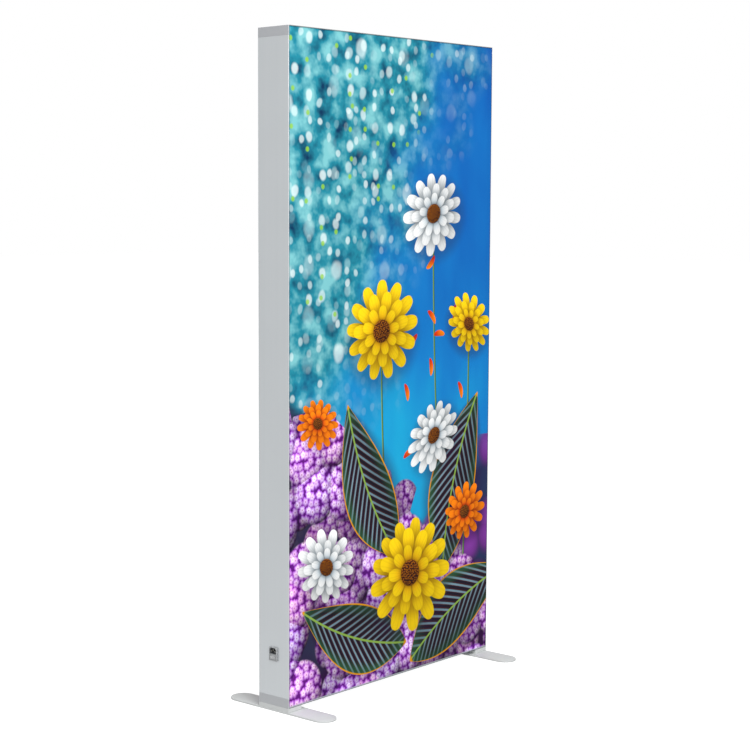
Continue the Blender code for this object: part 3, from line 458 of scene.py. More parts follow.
def sheet_metal(name, look):
    """Rolled aluminium sheet with fine lines along its length."""
    finish = Finish(name, metallic=SHEET_METALLIC)
    lines = finish.noise(finish.scaled(finish.place, (look.die_line_stretch, 1.0, 1.0)), look.die_lines)
    smudge = finish.noise(finish.place, look.smudges)
    colour = finish.lit(look.sheet_colour, lines.span(*SHEET_TONE))
    return finish.shade(colour, smudge.span(*SHEET_ROUGHNESS), lines, look.die_line_height)


def powder_coat(name, look):
    """Powder coat with an orange-peel surface and a little dust in its tone."""
    finish = Finish(name, specular=COAT_SPECULAR)
    peel = finish.noise(finish.place, look.peel, detail=1.0)
    cloud = finish.noise(finish.place, look.tone_clouds)
    speck = finish.noise(finish.place, look.fine_grain)
    colour = finish.toned(look.powder_colour, COAT_TONES, cloud, speck)
    return finish.shade(colour, peel.span(*COAT_ROUGHNESS), peel, look.peel_height)


# Plastic finishes

def moulded(name, colour, look, roughness=PLASTIC_ROUGHNESS, light_paint=None):
    """Moulded plastic with a spark-eroded grain and faint flow marks, and with its painted light where it has
    any.
    """
    finish = Finish(name)
    grain = finish.noise(finish.place, look.mould_grain, detail=3.0)
    flow = finish.noise(finish.scaled(finish.place, PLASTIC_FLOW), look.flow_marks)
    colour = finish.toned(colour, PLASTIC_TONES, grain, flow)
    if light_paint:
        colour = light_paint(finish, colour, look)
    return finish.shade(colour, grain * GRAIN_ROUGHNESS + roughness, grain, look.grain_height)


def cap_painted_light(finish, colour, look):
    """Painted light on the end caps: lighter towards the floor, and a painted highlight along their corners
    beside the fabric.
    """
    _, depth, height = finish.parts(finish.place)
    # painted light: the caps turn lighter towards the floor
    colour = finish.mix(height.ease(look.painted_light_reach, 0.0) * look.painted_light_share, colour, look.dust)
    # painted highlight along the caps' corners beside the fabric
    return finish.mix(depth.size().ease(look.highlight_start, look.highlight_end) * look.highlight_share, colour, look.painted_cap_highlight)


def led_board(name, look):
    """White solder mask with copper runs, and clear lenses where it stands proud."""
    finish = Finish(name)
    x, y, _ = finish.parts(finish.place)
    track = (y.size() * look.track_pitch).sine().ease(*TRACK_EDGE)
    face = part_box("led_bar_right")[1].x - look.board_thickness
    lens = x.size().ease(face, face - look.lens_rise)
    grain = finish.noise(finish.place, look.fine_grain)
    colour = finish.mix(track * TRACK_SHARE, look.mask_white, look.track_tone)
    colour = finish.lit(finish.mix(lens, colour, look.lens_clear), grain.span(*MASK_TONE))
    return finish.shade(colour, lens.span(*LED_BOARD_ROUGHNESS), track, look.track_height)


def driver_board(name, look):
    """Green board with dark, amber and blue parts standing on it."""
    finish = Finish(name)
    low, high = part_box("driver_board")
    x, _, z = finish.parts(finish.place)
    parts = finish.ramp((x - low.x) / (high.x - low.x), PART_PLACES, PART_COLOURS)
    face = low.z + look.board_thickness
    standing = z.ease(face, face + WELD)
    grain = finish.noise(finish.place, look.smudges)
    colour = finish.lit(finish.mix(standing, look.board_green, parts), grain.span(*DRIVER_TONE))
    return finish.shade(colour, grain.span(*DRIVER_ROUGHNESS), grain, look.grain_height)


def lead_sheath(name, look):
    """Soft white sheath with a faint ripple from the strands inside."""
    finish = Finish(name)
    ripple = finish.noise(finish.place, look.ripples)
    dust = finish.noise(finish.place, look.smudges)
    colour = finish.lit(look.sheath, dust.span(*SHEATH_TONE))
    return finish.shade(colour, ripple.span(*SHEATH_ROUGHNESS), ripple, look.ripple_height)


# The print: a garden of blossoms and striped leaves before blurred blue light

class Blossom(NamedTuple):
    """A blossom of the print, in metres from the print's middle."""

    place: tuple
    radius: float
    lean: float            # way in which it leans back
    lean_share: float      # share of its height that it keeps
    colours: tuple         # names of the colours of its petals' tips and bases
    stem_foot: float = None


class Leaf(NamedTuple):
    """A leaf of the print, in metres from the print's middle."""

    place: tuple
    length: float
    angle: float


class BlurredLight(NamedTuple):
    """One size of the blurred lights: how many a metre has, their rim in shares of a cell, their strength."""

    per_metre: float
    rim: float
    strength: float


YELLOW = ("petal_yellow", "petal_gold")
WHITE = ("petal_white", "petal_mist")
ORANGE = ("petal_orange", "petal_red")
BLOSSOMS = (
    Blossom((0.19, 0.46), 0.155, math.radians(20), 0.84, WHITE, 0.30),
    Blossom((0.385, 0.10), 0.120, math.radians(-25), 0.78, YELLOW, 0.34),
    Blossom((-0.07, 0.10), 0.175, math.radians(12), 0.88, YELLOW, 0.02),
    Blossom((-0.37, -0.16), 0.095, math.radians(-15), 0.80, ORANGE),
    Blossom((0.20, -0.25), 0.140, math.radians(30), 0.76, WHITE),
    Blossom((-0.33, -0.60), 0.135, math.radians(-20), 0.84, WHITE),
    Blossom((0.37, -0.52), 0.110, math.radians(10), 0.86, ORANGE),
    Blossom((0.08, -0.68), 0.205, math.radians(-10), 0.90, YELLOW),
)
LEAVES = (
    Leaf((0.31, -0.40), 0.60, math.radians(72)),
    Leaf((-0.14, -0.38), 0.56, math.radians(116)),
    Leaf((0.33, -0.82), 0.58, math.radians(24)),
    Leaf((-0.20, -0.84), 0.54, math.radians(160)),
)
CELL_SPREAD = 0.8          # unevenness of the places of most motifs

# Backdrop and foliage
BLUE_SLOPE = Slope(across=-0.30, up=-0.30, level=-0.065)
BLUE_DRIFT = Cloud(2.1, stretch=(1.0, 0.5, 1.0), share=0.75)
BLUE_STREAKS = Cloud(2.4, stretch=(3.2, 1.3, 1.0), share=0.30)
BLUE_PLACES = (0.0, 0.38, 0.72, 1.0)
FOLIAGE_SLOPE = Slope(across=-1.60, up=0.80, level=-0.79)
FOLIAGE_DRIFT = Cloud(3.4, share=1.3)
FOLIAGE_EDGE = Fade(-0.16, 0.55)
CLUMPS = Cloud(13.0, detail=3.0)
CLUMP_PLACES = (0.30, 0.48, 0.64)
SWAY = Cloud(11.0)
BLURRED_LIGHTS = (
    BlurredLight(24.0, 0.31, 0.60),
    BlurredLight(16.0, 0.29, 0.62),
    BlurredLight(9.0, 0.27, 0.55),
)
LIGHT_SQUEEZE = 0.86       # of their pattern's height
LIGHT_SPREAD = 0.62
LIGHT_DISC = Fade(1.0, 0.55)
LIGHT_CHANCE = Fade(0.35, 0.95)
SPECKS_PER_METRE = 15.0
SPECK_DISC = Fade(0.15, 0.08, 0.8)
SPECK_CHANCE = 0.70
SPECK_PLACES = Fade(0.3, 0.7)

# Flower heads and their florets
BANK_SOFT_SHARE = 1 / 3    # of a head's radius
FAR_HEADS_PER_METRE = 8.5
FAR_HEAD_SPREAD = 0.85
FAR_HEAD_LIGHT = Fade(0.80, 0.0, 0.8)
FAR_HEAD_SHADE = 0.35
FAR_HEAD_DISC = Fade(0.72, 0.34, 0.9)
FAR_BASE_SHARE = 0.9
NEAR_BASE_SHARE = 0.96
HEAD_LAYERS = ((1.3, 0.585), (1.0, 1.3))    # how much closer the heads stand, and their light
HEAD_DOME_LIGHT = 0.80
HEAD_SLOPE = Slope(across=-0.24, up=0.36, level=0.16)
HEAD_LEAST_LIGHT = 0.06
HEAD_RIM = Fade(1.02, 0.92)
FLORET_PETALS = 5
FLORET_LOBES = (0.76, 1.04)
FLORET_RIM = Fade(0.30, 1.05)
FLORET_EYE = Fade(0.24, 0.12, 0.7)
FLORET_GAP = Fade(0.90, 1.25)
FLORET_RISE_LIGHT = 0.22
FLORET_TONE = (0.86, 1.16)
STEM_EDGE = Fade(1.0, 0.7)

# Leaves, in shares of half a leaf's length
LEAF_WIDTH_SHARE = 0.40
LEAF_BEND = 0.12
LEAF_TAPER = 0.30
LEAF_TIP_SHARE = 0.01      # half its least width
LEAF_LIGHT = Fade(-LEAF_WIDTH_SHARE, LEAF_WIDTH_SHARE, 0.6)
LEAF_CLOUD = Cloud(16.0, share=0.5)
LEAF_SHADE = 0.40
STRIPE_SLANT = 1.3
STRIPE_SHIFT = 0.21        # from one leaf to the next
STRIPE_EDGE = Fade(0.15, 0.95)
VEINS_PER_STRIPE = 2.0
VEIN_SHIFT = 1.1
VEIN_EDGE = Fade(0.80, 1.0, 0.6)
RIB_EDGE = Fade(1.0, 0.5)

# Bands of a leaf, in shares of the way out from its middle
LEAF_GREEN = Fade(0.55, 0.95, 0.6)
LEAF_MARGIN = Fade(0.93, 0.97)
LEAF_EDGE = Fade(1.0, 0.98)
LEAF_SHADOW = Fade(1.5, 0.9, 0.55)
LEAF_SHADOW_ENDS = Fade(1.02, 0.85)

# Blossoms, in shares of their radius
OUTER_PETALS = 13
PETALS_FEWER = 2           # in each next ring
PETAL_RINGS = (1.0, 0.76, 0.52, 0.27)       # the last is the eye's
BLOSSOM_TURN = 1.7         # from one blossom to the next
FIRST_TURN = 9.0
BLOSSOM_LIGHT = Slope(across=-0.08, up=0.16, level=0.97)
BLOSSOM_SHADOW = Fade(1.18, 0.80, 0.42)
BLOSSOM_SHADOW_DROP = 0.14
SEEDS_PER_RADIUS = 24.0
SEED_SPREAD = 0.6
SEED_DISC = Fade(0.55, 0.10, 0.85)
EYE_LIGHT = Slope(across=-0.8, up=1.6, level=0.95)
EYE_EDGE = Fade(0.92, 0.80)

# Petals of a ring
CHANCE_STEP = 12.9898      # keeps the petals' random numbers apart
PETAL_REACH = 1.04
PETAL_POWER = 2.6          # how late a petal's outline falls back beside its middle
PETAL_GAP = 0.40           # share of its length that is lost between two petals
PETAL_UNEVENNESS = 0.10
PETAL_EDGE = Fade(-0.012, 0.012)
PETAL_TIP = Fade(0.25, 0.92)
PETAL_LIGHT = 1.04
CREASE_PITCH = 19.0        # radians of the creases over half a petal
CREASE_LIGHT = 0.05
GAP_SHADE_POWER = 4.0
GAP_SHADE = 0.48
PETAL_TONE_SHARE = 0.16
RING_SHADE = Fade(0.72, 1.22, 0.50)         # under the next ring, in shares of its reach
RING_LIGHT = 0.50

# Loose petals
LOOSE_TURNS = 3
LOOSE_WIDTH_SHARE = 0.17   # half the width, of the length
LOOSE_CURL = 0.5
LOOSE_TIP = Fade(-0.9, 0.7)
LOOSE_EDGE = Fade(1.1, 0.85)
LOOSE_CHANCE = 0.38
LOOSE_LIGHT = 0.25
LOOSE_SHADE = 0.95
SPREAD_SQUEEZE = 2.2       # how much narrower than high the patch of petals is, squared
SPREAD_EDGE = Fade(1.0, 0.98)

# Fabric under the print
PRINT_SPECULAR = 0.12
PRINT_ROUGHNESS = (0.78, 0.88)
FUZZ_SHARE = 0.06
# light of the painted shade along the print's edges, at the edge and inside
HEM_LIGHT = (0.45, 1.0)
BARE_HEM = Fade(1.0, 0.6, 0.8)
EDGE_GLOW = (0.95, 1.05)


def above_bank(u, v, bank):
    """How far a place lies above the top of a sloping bank of flower heads."""
    slope, height = bank
    return v - u * slope - height


class Print(Finish):
    """The fabric's print, as a material."""

    def __init__(self, name, look):
        super().__init__(name, specular=PRINT_SPECULAR)
        self.look = look
        low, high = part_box("front_graphic")
        self.half_width, self.half_height = high.x, (high.z - low.z) / 2
        self.x, depth, self.z = self.parts(self.place)
        self.u = self.x * depth.above(0.0).span(1, -1)    # turned round on the back
        self.v = self.z - (low.z + high.z) / 2
        self.flat = self.point(self.u, self.v)

    def local(self, place, angle, width, height):
        """A motif's own place: from its middle, along its own axes, in shares of its size."""
        moves = ((*place, 0.0), (0.0, 0.0, angle), (width, height, 1.0))
        return self.node("ShaderNodeMapping", self.flat, *moves, vector_type="TEXTURE").outputs[0]

    def cloud(self, cloud):
        """A soft noise over the print."""
        return self.noise(self.scaled(self.flat, cloud.stretch), cloud.per_metre, cloud.detail) * cloud.share

    def nearest(self, motifs):
        """The place inside the nearest of several motifs, how far out it is there, and the motif's number."""
        place, reach = motifs[0]
        chosen = reach * 0.0
        for number, (other_place, other_reach) in enumerate(motifs[1:], 1):
            closer = reach.above(other_reach)
            place = self.pick(closer, place, other_place)
            reach = reach.at_most(other_reach)
            chosen = chosen.at_least(closer * number)
        return place, reach, chosen

    def by_number(self, number, colours):
        """The colour of a motif from its number."""
        places = [i / len(colours) for i in range(len(colours))]
        return self.ramp((number + 0.5) / len(colours), places, colours, steps=True)

    def backdrop(self):
        """Blurred blue, deepest at the upper right and palest low down."""
        look = self.look
        depth = BLUE_SLOPE.at(self.u, self.v) + self.cloud(BLUE_DRIFT) + self.cloud(BLUE_STREAKS)
        blues = (look.deep_blue, look.mid_blue, look.bright_blue, look.pale_cyan)
        return self.ramp(depth, BLUE_PLACES, blues)

    def dapples(self, colour):
        """Out-of-focus foliage: soft round lights of several sizes, thick at the upper left."""
        look = self.look
        share = (FOLIAGE_SLOPE.at(self.u, self.v) + self.cloud(FOLIAGE_DRIFT)).ease(*FOLIAGE_EDGE)
        tones = (look.leaf_shade, look.leaf_teal, look.leaf_pale)
        colour = self.mix(share, colour, self.ramp(self.cloud(CLUMPS), CLUMP_PLACES, tones))
        sway = self.cloud(SWAY) * look.sway
        place = self.point(self.u + sway, self.v * LIGHT_SQUEEZE + sway)
        for light in BLURRED_LIGHTS:
            distance, chance, _ = self.cells(place, light.per_metre, LIGHT_SPREAD)
            disc = distance.ease(*LIGHT_DISC.times(light.rim)) * chance.ease(*LIGHT_CHANCE)
            tone = self.mix(chance, look.leaf_pale, look.leaf_light)
            colour = self.mix(disc * share * light.strength, colour, tone)
        distance, chance, _ = self.cells(self.flat, SPECKS_PER_METRE, CELL_SPREAD)
        speck = distance.ease(*SPECK_DISC) * chance.above(SPECK_CHANCE) * share.ease(*SPECK_PLACES)
        return self.mix(speck, colour, look.lime)

    def far_heads(self, colour):
        """A blurred bank of flower heads at the right, behind everything else."""
        look = self.look
        distance, chance, middle = self.cells(self.flat, FAR_HEADS_PER_METRE, FAR_HEAD_SPREAD)
        soft = look.head_radius * BANK_SOFT_SHARE
        inside = above_bank(*middle, look.far_bank).ease(soft, -soft)
        light = distance.ease(*FAR_HEAD_LIGHT) + FAR_HEAD_SHADE
        tone = self.lit(self.mix(chance, look.head_deep, look.head_mid), light)
        base = above_bank(self.u, self.v, look.far_bank).ease(soft, -look.head_radius)
        colour = self.mix(base * FAR_BASE_SHARE, colour, look.head_shade)
        return self.mix(distance.ease(*FAR_HEAD_DISC) * inside, colour, tone)

    def near_heads(self, colour):
        """A bank of round flower heads that falls from the left, each one full of five-petalled florets."""
        look = self.look
        base = above_bank(self.u, self.v, look.near_bank).ease(0.0, -look.head_radius)
        colour = self.mix(base * NEAR_BASE_SHARE, colour, look.head_shade)
        florets = self.florets()
        for crowding, strength in HEAD_LAYERS:
            _, chance, (mid_u, mid_v) = self.cells(self.flat, look.heads * crowding, CELL_SPREAD)
            radius = look.head_radius / crowding
            run, rise = (self.u - mid_u) / radius, (self.v - mid_v) / radius
            reach = reach_of(run, rise)
            dome = (1.0 - reach * reach).at_least(0.0).root()
            light = (dome * HEAD_DOME_LIGHT + HEAD_SLOPE.at(run, rise)).at_least(HEAD_LEAST_LIGHT)
            off_bank = above_bank(mid_u, mid_v, look.near_bank).above(0.0)
            tint = self.mix(chance, look.warm_tint, look.cool_tint)
            head = self.lit(self.tinted(florets, tint), light * strength)
            colour = self.mix(reach.ease(*HEAD_RIM) * (1.0 - off_bank), colour, head)
        return colour

    def florets(self):
        """Small five-petalled florets, pale in the middle and shaded between them."""
        look = self.look
        _, chance, (mid_u, mid_v) = self.cells(self.flat, look.florets, CELL_SPREAD)
        run, rise = self.u - mid_u, self.v - mid_v
        angle = rise.turn_from(run) * (FLORET_PETALS / 2) + chance * math.tau
        lobes = angle.cosine().size().span(*FLORET_LOBES)
        spread = reach_of(run, rise) / (lobes * look.floret_radius)
        tone = self.mix(chance, look.head_pale, look.head_white)
        tone = self.mix(spread.ease(*FLORET_RIM), tone, look.head_mid)
        tone = self.mix(spread.ease(*FLORET_EYE), tone, look.floret_eye)
        light = rise / look.floret_radius * FLORET_RISE_LIGHT + chance.span(*FLORET_TONE)
        return self.mix(spread.ease(*FLORET_GAP), self.lit(tone, light), look.head_deep)

    def stem(self, colour, blossom):
        """A slim stem that curves from its foot on the print's lower edge up to its blossom."""
        look = self.look
        share = (blossom.place[1] - self.v) / (blossom.place[1] + self.half_height)
        across = self.u - share * share * (blossom.stem_foot - blossom.place[0]) - blossom.place[0]
        half = look.stem_half_width
        inside = across.size().ease(*STEM_EDGE.times(half)) * share.above(0.0)
        tone = self.mix(across.ease(-half, half), look.stem_light, look.stem_dark)
        return self.mix(inside, colour, tone)

    def leaf_place(self, leaf):
        """The place in a pointed, slightly bent leaf, and how far out it is there."""
        place = self.local(leaf.place, leaf.angle, leaf.length / 2, leaf.length / 2)
        along, across, _ = self.parts(place)
        bent = across + along * along * LEAF_BEND
        half = (1.0 - along * along).at_least(0.0) * (1.0 - along * LEAF_TAPER) * LEAF_WIDTH_SHARE
        edge = (bent.size() / half.at_least(LEAF_TIP_SHARE)).at_least(along.size())
        return self.point(along, bent), edge

    def leaves(self, colour):
        """Dark leaves with slanting pale stripes, a rib and a thin light margin, over a soft shadow."""
        look = self.look
        place, edge, number = self.nearest([self.leaf_place(leaf) for leaf in LEAVES])
        along, across, _ = self.parts(place)
        phase = (along + across.size() * STRIPE_SLANT + number * STRIPE_SHIFT) * look.stripe_turns
        veins = phase * VEINS_PER_STRIPE + VEIN_SHIFT
        light = across.ease(*LEAF_LIGHT) + self.cloud(LEAF_CLOUD) + LEAF_SHADE
        tone = self.mix(phase.sine().ease(*STRIPE_EDGE), look.stripe_dark, look.stripe_pale)
        tone = self.mix(veins.sine().ease(*VEIN_EDGE), tone, look.stripe_brown)
        tone = self.lit(self.mix(edge.ease(*LEAF_GREEN), tone, look.stripe_green), light)
        tone = self.mix(across.size().ease(*RIB_EDGE.times(look.rib_share)), tone, look.stem_light)
        tone = self.mix(edge.ease(*LEAF_MARGIN), tone, look.petal_gold)
        shadow = edge.ease(*LEAF_SHADOW) * along.size().ease(*LEAF_SHADOW_ENDS)
        colour = self.mix(shadow, colour, look.head_shade)
        return self.mix(edge.ease(*LEAF_EDGE), colour, tone)

    def petal_ring(self, reach, turn, petals, ring_share, next_share, tip, base):
        """A ring of petals: where it lies, and its colour with creases, veins and the next ring's shade."""
        turned = turn * (petals / math.tau)
        part = turned.wrapped()
        chance = ((turned - part) * CHANCE_STEP).sine() * 0.5 + 0.5
        side = (part - 0.5).size() * 2.0
        outline = side.power(PETAL_POWER) * -PETAL_GAP - chance * PETAL_UNEVENNESS + PETAL_REACH
        crease = (side * CREASE_PITCH).sine() * CREASE_LIGHT
        light = crease + PETAL_LIGHT - side.power(GAP_SHADE_POWER) * GAP_SHADE - chance * PETAL_TONE_SHARE
        shade = reach.ease(*RING_SHADE.times(next_share)) + RING_LIGHT
        tone = self.mix(reach.ease(*PETAL_TIP.times(ring_share)), base, tip)
        return (outline * ring_share - reach).ease(*PETAL_EDGE), self.lit(tone, light * shade)

    def blossom_places(self):
        """The nearest blossom's own place, how far out it is there, and the blossom's number."""
        motifs = []
        for blossom in BLOSSOMS:
            height = blossom.radius * blossom.lean_share
            place = self.local(blossom.place, blossom.lean, blossom.radius, height)
            motifs.append((place, self.length_of(place)))
        return self.nearest(motifs)

    def blossoms(self, colour):
        """Double blossoms: rings of petals round a dark seeded middle, over a soft shadow."""
        look = self.look
        place, reach, number = self.blossom_places()
        run, rise, _ = self.parts(place)
        turn = rise.turn_from(run) + number * BLOSSOM_TURN + FIRST_TURN
        tips, bases = ([getattr(look, blossom.colours[i]) for blossom in BLOSSOMS] for i in (0, 1))
        tip, base = self.by_number(number, tips), self.by_number(number, bases)
        light = BLOSSOM_LIGHT.at(run, rise)
        shadow = (reach + rise * BLOSSOM_SHADOW_DROP).ease(*BLOSSOM_SHADOW)
        colour = self.mix(shadow, colour, look.head_shade)
        for i, (ring_share, next_share) in enumerate(zip(PETAL_RINGS, PETAL_RINGS[1:])):
            petals = OUTER_PETALS - PETALS_FEWER * i
            inside, tone = self.petal_ring(reach, turn + i, petals, ring_share, next_share, tip, base)
            colour = self.mix(inside, colour, self.lit(tone, light))
        seeds, _, _ = self.cells(place, SEEDS_PER_RADIUS, SEED_SPREAD)
        eye = self.mix(seeds.ease(*SEED_DISC), look.eye_dark, look.eye_seed)
        eye = self.lit(eye, EYE_LIGHT.at(run, rise))
        return self.mix(reach.ease(*EYE_EDGE.times(PETAL_RINGS[-1])), colour, eye)

    def loose_petals(self, colour):
        """Small curled petals adrift in the middle of the print."""
        look = self.look
        _, chance, (mid_u, mid_v) = self.cells(self.flat, look.petals_per_metre, CELL_SPREAD)
        run, rise = self.u - mid_u, self.v - mid_v
        angle = chance * (LOOSE_TURNS * math.tau)
        cosine, sine = angle.cosine(), angle.sine()
        along = (run * cosine + rise * sine) / (look.petal_length / 2)
        across = (rise * cosine - run * sine) / (look.petal_length * LOOSE_WIDTH_SHARE)
        across = across + along * along * LOOSE_CURL
        far_u, far_v = mid_u - look.petal_middle[0], mid_v - look.petal_middle[1]
        far = (far_u * far_u * SPREAD_SQUEEZE + far_v * far_v).root()
        near = far.ease(*SPREAD_EDGE.times(look.petal_spread))
        inside = (along * along + across * across).ease(*LOOSE_EDGE) * near * chance.above(LOOSE_CHANCE)
        tone = self.mix(along.ease(*LOOSE_TIP), look.petal_red, look.petal_orange)
        return self.mix(inside, colour, self.lit(tone, across * LOOSE_LIGHT + LOOSE_SHADE))

    def finished(self):
        """Lays the layers over each other and shares them between ink and the light behind it."""
        look = self.look
        colour = self.far_heads(self.dapples(self.backdrop()))
        for blossom in BLOSSOMS:
            if blossom.stem_foot is not None:
                colour = self.stem(colour, blossom)
        colour = self.blossoms(self.loose_petals(self.leaves(self.near_heads(colour))))
        margin = (self.half_width - self.u.size()).at_most(self.half_height - self.v)
        # painted shade: the print's colour, and with it its glow, darkens in a band along the edges where the
        # fabric turns into the groove
        colour = self.lit(colour, margin.ease(0.0, look.hem).span(*HEM_LIGHT))
        bare = (self.v + self.half_height).ease(*BARE_HEM.times(look.bare_hem))
        colour = self.mix(bare, colour, look.bare_cloth)
        glow = self.lit(colour, margin.ease(look.glow_reach, 0.0).span(*EDGE_GLOW))
        self.feed_all(self.shader, {"Emission Color": glow, "Emission Strength": look.glow})
        weave = (self.x * look.knit).sine() * (self.z * look.knit).sine()
        fuzz = self.noise(self.place, look.fine_grain)
        ink_only = self.lit(colour, fuzz * FUZZ_SHARE + look.ink_share)
        return self.shade(ink_only, fuzz.span(*PRINT_ROUGHNESS), weave, look.knit_height)


# Shapes

def add_object(name, data):
    """Adds an object to the scene."""
    made = bpy.data.objects.new(name, data)
    bpy.context.scene.collection.objects.link(made)
    return made


def link(name, mesh, body, material):
    """Adds a finished mesh as a piece that rides on a body."""
    piece = add_object(name, mesh)
    mesh.materials.append(material)
    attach(piece, body)
    return piece


def smoothed(mesh):
    """Shades a mesh smooth between its sharp edges."""
    mesh.shade_smooth()
    mesh.set_sharp_from_angle(angle=SMOOTH_ANGLE)
    return mesh


def to_mesh(name, shape):
    bmesh.ops.recalc_face_normals(shape, faces=shape.faces[:])
    mesh = bpy.data.meshes.new(name)
    shape.to_mesh(mesh)
    shape.free()
    return smoothed(mesh)


def middle_of(name):
    """The middle of a CAD node."""
    low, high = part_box(name)
    return (low + high) / 2


def hole_radius(name):
    """The radius of the hole that a round CAD node goes in."""
    low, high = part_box(name)
    return (high.x - low.x) / 2 + MOULD_GAP


def arc(centre, radius, start, turn, steps):
    """Points along an arc, with both its ends."""
    turns = [start + turn * i / steps for i in range(steps + 1)]
    return [(centre[0] + radius * math.cos(t), centre[1] + radius * math.sin(t)) for t in turns]


def circle(centre, radius):
    """Points all round a circle."""
    return arc(centre, radius, 0, math.tau, ROUND_SIDES)[:-1]


def along(axis, u, v, w):
    """A place from two places across an axis and one along it."""
    return {"X": (w, u, v), "Z": (u, v, w)}[axis]


def prism_mesh(name, axis, outline, start, end, edge=0.0):
    """A closed prism, with its two rims rounded where an edge is given."""
    shape = bmesh.new()
    rings = [[shape.verts.new(along(axis, u, v, w)) for u, v in outline] for w in (start, end)]
    caps = [shape.faces.new(ring) for ring in rings]
    for i in range(len(outline)):
        shape.faces.new((rings[0][i - 1], rings[0][i], rings[1][i], rings[1][i - 1]))
    bmesh.ops.recalc_face_normals(shape, faces=shape.faces[:])
    if edge:
        rims = [rim for cap in caps for rim in cap.edges]
        bmesh.ops.bevel(
            shape, geom=rims, offset=edge, segments=EDGE_STEPS, profile=ROUND_PROFILE, affect="EDGES"
        )
    return to_mesh(name, shape)


def box_mesh(name, x, y, z, edge=0.0):
    outline = [(y[0], z[0]), (y[1], z[0]), (y[1], z[1]), (y[0], z[1])]
    return prism_mesh(name, "X", outline, x[0], x[1], edge)


def turned_mesh(name, centre, steps):
    """A closed upright turned shape from (radius, height) steps that start and end on its axis."""
    shape = bmesh.new()
    rings = []
    for radius, height in steps:
        points = circle(centre, radius) if radius else [centre]
        rings.append([shape.verts.new((*point, height)) for point in points])
    for lower, upper in zip(rings, rings[1:]):
        for i in range(ROUND_SIDES):
            ends = ((lower, i), (lower, i + 1), (upper, i + 1), (upper, i))
            corners = [points[j % len(points)] for points, j in ends]
            shape.faces.new(list(dict.fromkeys(corners)))
    return to_mesh(name, shape)


def rod_mesh(name, centre, radius, start, end):
    """A closed upright rod."""
    return turned_mesh(name, centre, [(0, start), (radius, start), (radius, end), (0, end)])


def combined(mesh, tools):
    """A mesh after each (operation, tool mesh) has cut it or joined it."""
    base = add_object(mesh.name, mesh)
    helpers = [base]
    for operation, tool_mesh in tools:
        tool = add_object(tool_mesh.name, tool_mesh)
        modifier = base.modifiers.new(operation, "BOOLEAN")
        modifier.operation = operation
        modifier.solver = "EXACT"
        modifier.object = tool
        helpers.append(tool)
    graph = bpy.context.evaluated_depsgraph_get()
    result = bpy.data.meshes.new_from_object(base.evaluated_get(graph))
    for helper in helpers:
        bpy.data.objects.remove(helper, do_unlink=True)
    result.name = mesh.name
    result.materials.clear()
    return smoothed(result)


def rounded_rectangle(centre, width, height, radius):
    points = []
    for quarter, (way_u, way_v) in enumerate(((1, 1), (-1, 1), (-1, -1), (1, -1))):
        u = centre[0] + way_u * (width / 2 - radius)
        v = centre[1] + way_v * (height / 2 - radius)
        points += arc((u, v), radius, QUARTER_TURN * quarter, QUARTER_TURN, CORNER_STEPS)
    return points


# Fabric

def fabric_mesh(face):
    """The panel between the lips, rounded over at its edges, with each edge turned into its groove."""
    sign = FACES[face]
    low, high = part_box(f"{face}_graphic")
    outer = sign * max(abs(low.y), abs(high.y))
    turned = sign * min(abs(low.y), abs(high.y))
    columns, rows = FABRIC_CELLS
    shape = bmesh.new()
    grid = {}
    for i in range(columns + 1):
        for j in range(rows + 1):
            share_x, share_z = i / columns, j / rows
            x = low.x + FOLD_RADIUS + share_x * (high.x - low.x - 2 * FOLD_RADIUS)
            z = low.z + FOLD_RADIUS + share_z * (high.z - low.z - 2 * FOLD_RADIUS)
            sag = FABRIC_SAG * math.sin(math.pi * share_x) * math.sin(math.pi * share_z)
            grid[i, j] = shape.verts.new((x, outer - sign * sag, z))
    for i in range(columns):
        for j in range(rows):
            shape.faces.new((grid[i, j], grid[i + 1, j], grid[i + 1, j + 1], grid[i, j + 1]))
    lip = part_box(f"{face}_bead_left")
    for edge in EDGES:
        add_turned_edge(shape, grid, edge, outer, turned, (lip[0].z, lip[1].z))
    bmesh.ops.remove_doubles(shape, verts=shape.verts[:], dist=FABRIC_WELD)
    return to_mesh(f"{face}_fabric", shape)


def add_turned_edge(shape, grid, edge, outer, turned, side_reach):
    """Rolls one edge of the panel over and runs it straight back into its groove."""
    columns, rows = FABRIC_CELLS
    sign = 1 if outer > 0 else -1
    if edge in SIDES:
        line = [grid[0 if edge == "left" else columns, j] for j in range(rows + 1)]
        way = Vector((SIDES[edge], 0, 0))
    else:
        line = [grid[i, 0 if edge == "bottom" else rows] for i in range(columns + 1)]
        way = Vector((0, 0, -1 if edge == "bottom" else 1))
    steps = [QUARTER_TURN * (i + 1) / FOLD_STEPS for i in range(FOLD_STEPS)]
    drops = [(math.sin(t) * FOLD_RADIUS, (1 - math.cos(t)) * FOLD_RADIUS) for t in steps]
    drops.append((FOLD_RADIUS, abs(outer - turned)))
    previous = line
    for place, (out, back) in enumerate(drops):
        last = place == len(drops) - 1
        row = []
        for vert in line:
            spot = vert.co + way * out
            spot.y = outer - sign * back
            if last and edge in SIDES:
                spot.z = min(max(spot.z, side_reach[0]), side_reach[1])
            row.append(shape.verts.new(spot))
        for a, b, c, d in zip(previous, previous[1:], row[1:], row):
            shape.faces.new((a, b, c, d))
        previous = row


def stretch_fabric(face, material):
    mesh = fabric_mesh(face)
    piece = link(f"{face}_fabric", mesh, FRAME_BODY, material)
    thickness = piece.modifiers.new("cloth", "SOLIDIFY")
    thickness.thickness = FABRIC_THICKNESS
    thickness.offset = -1.0
    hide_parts(f"{face}_graphic")
    return piece


# Inlet

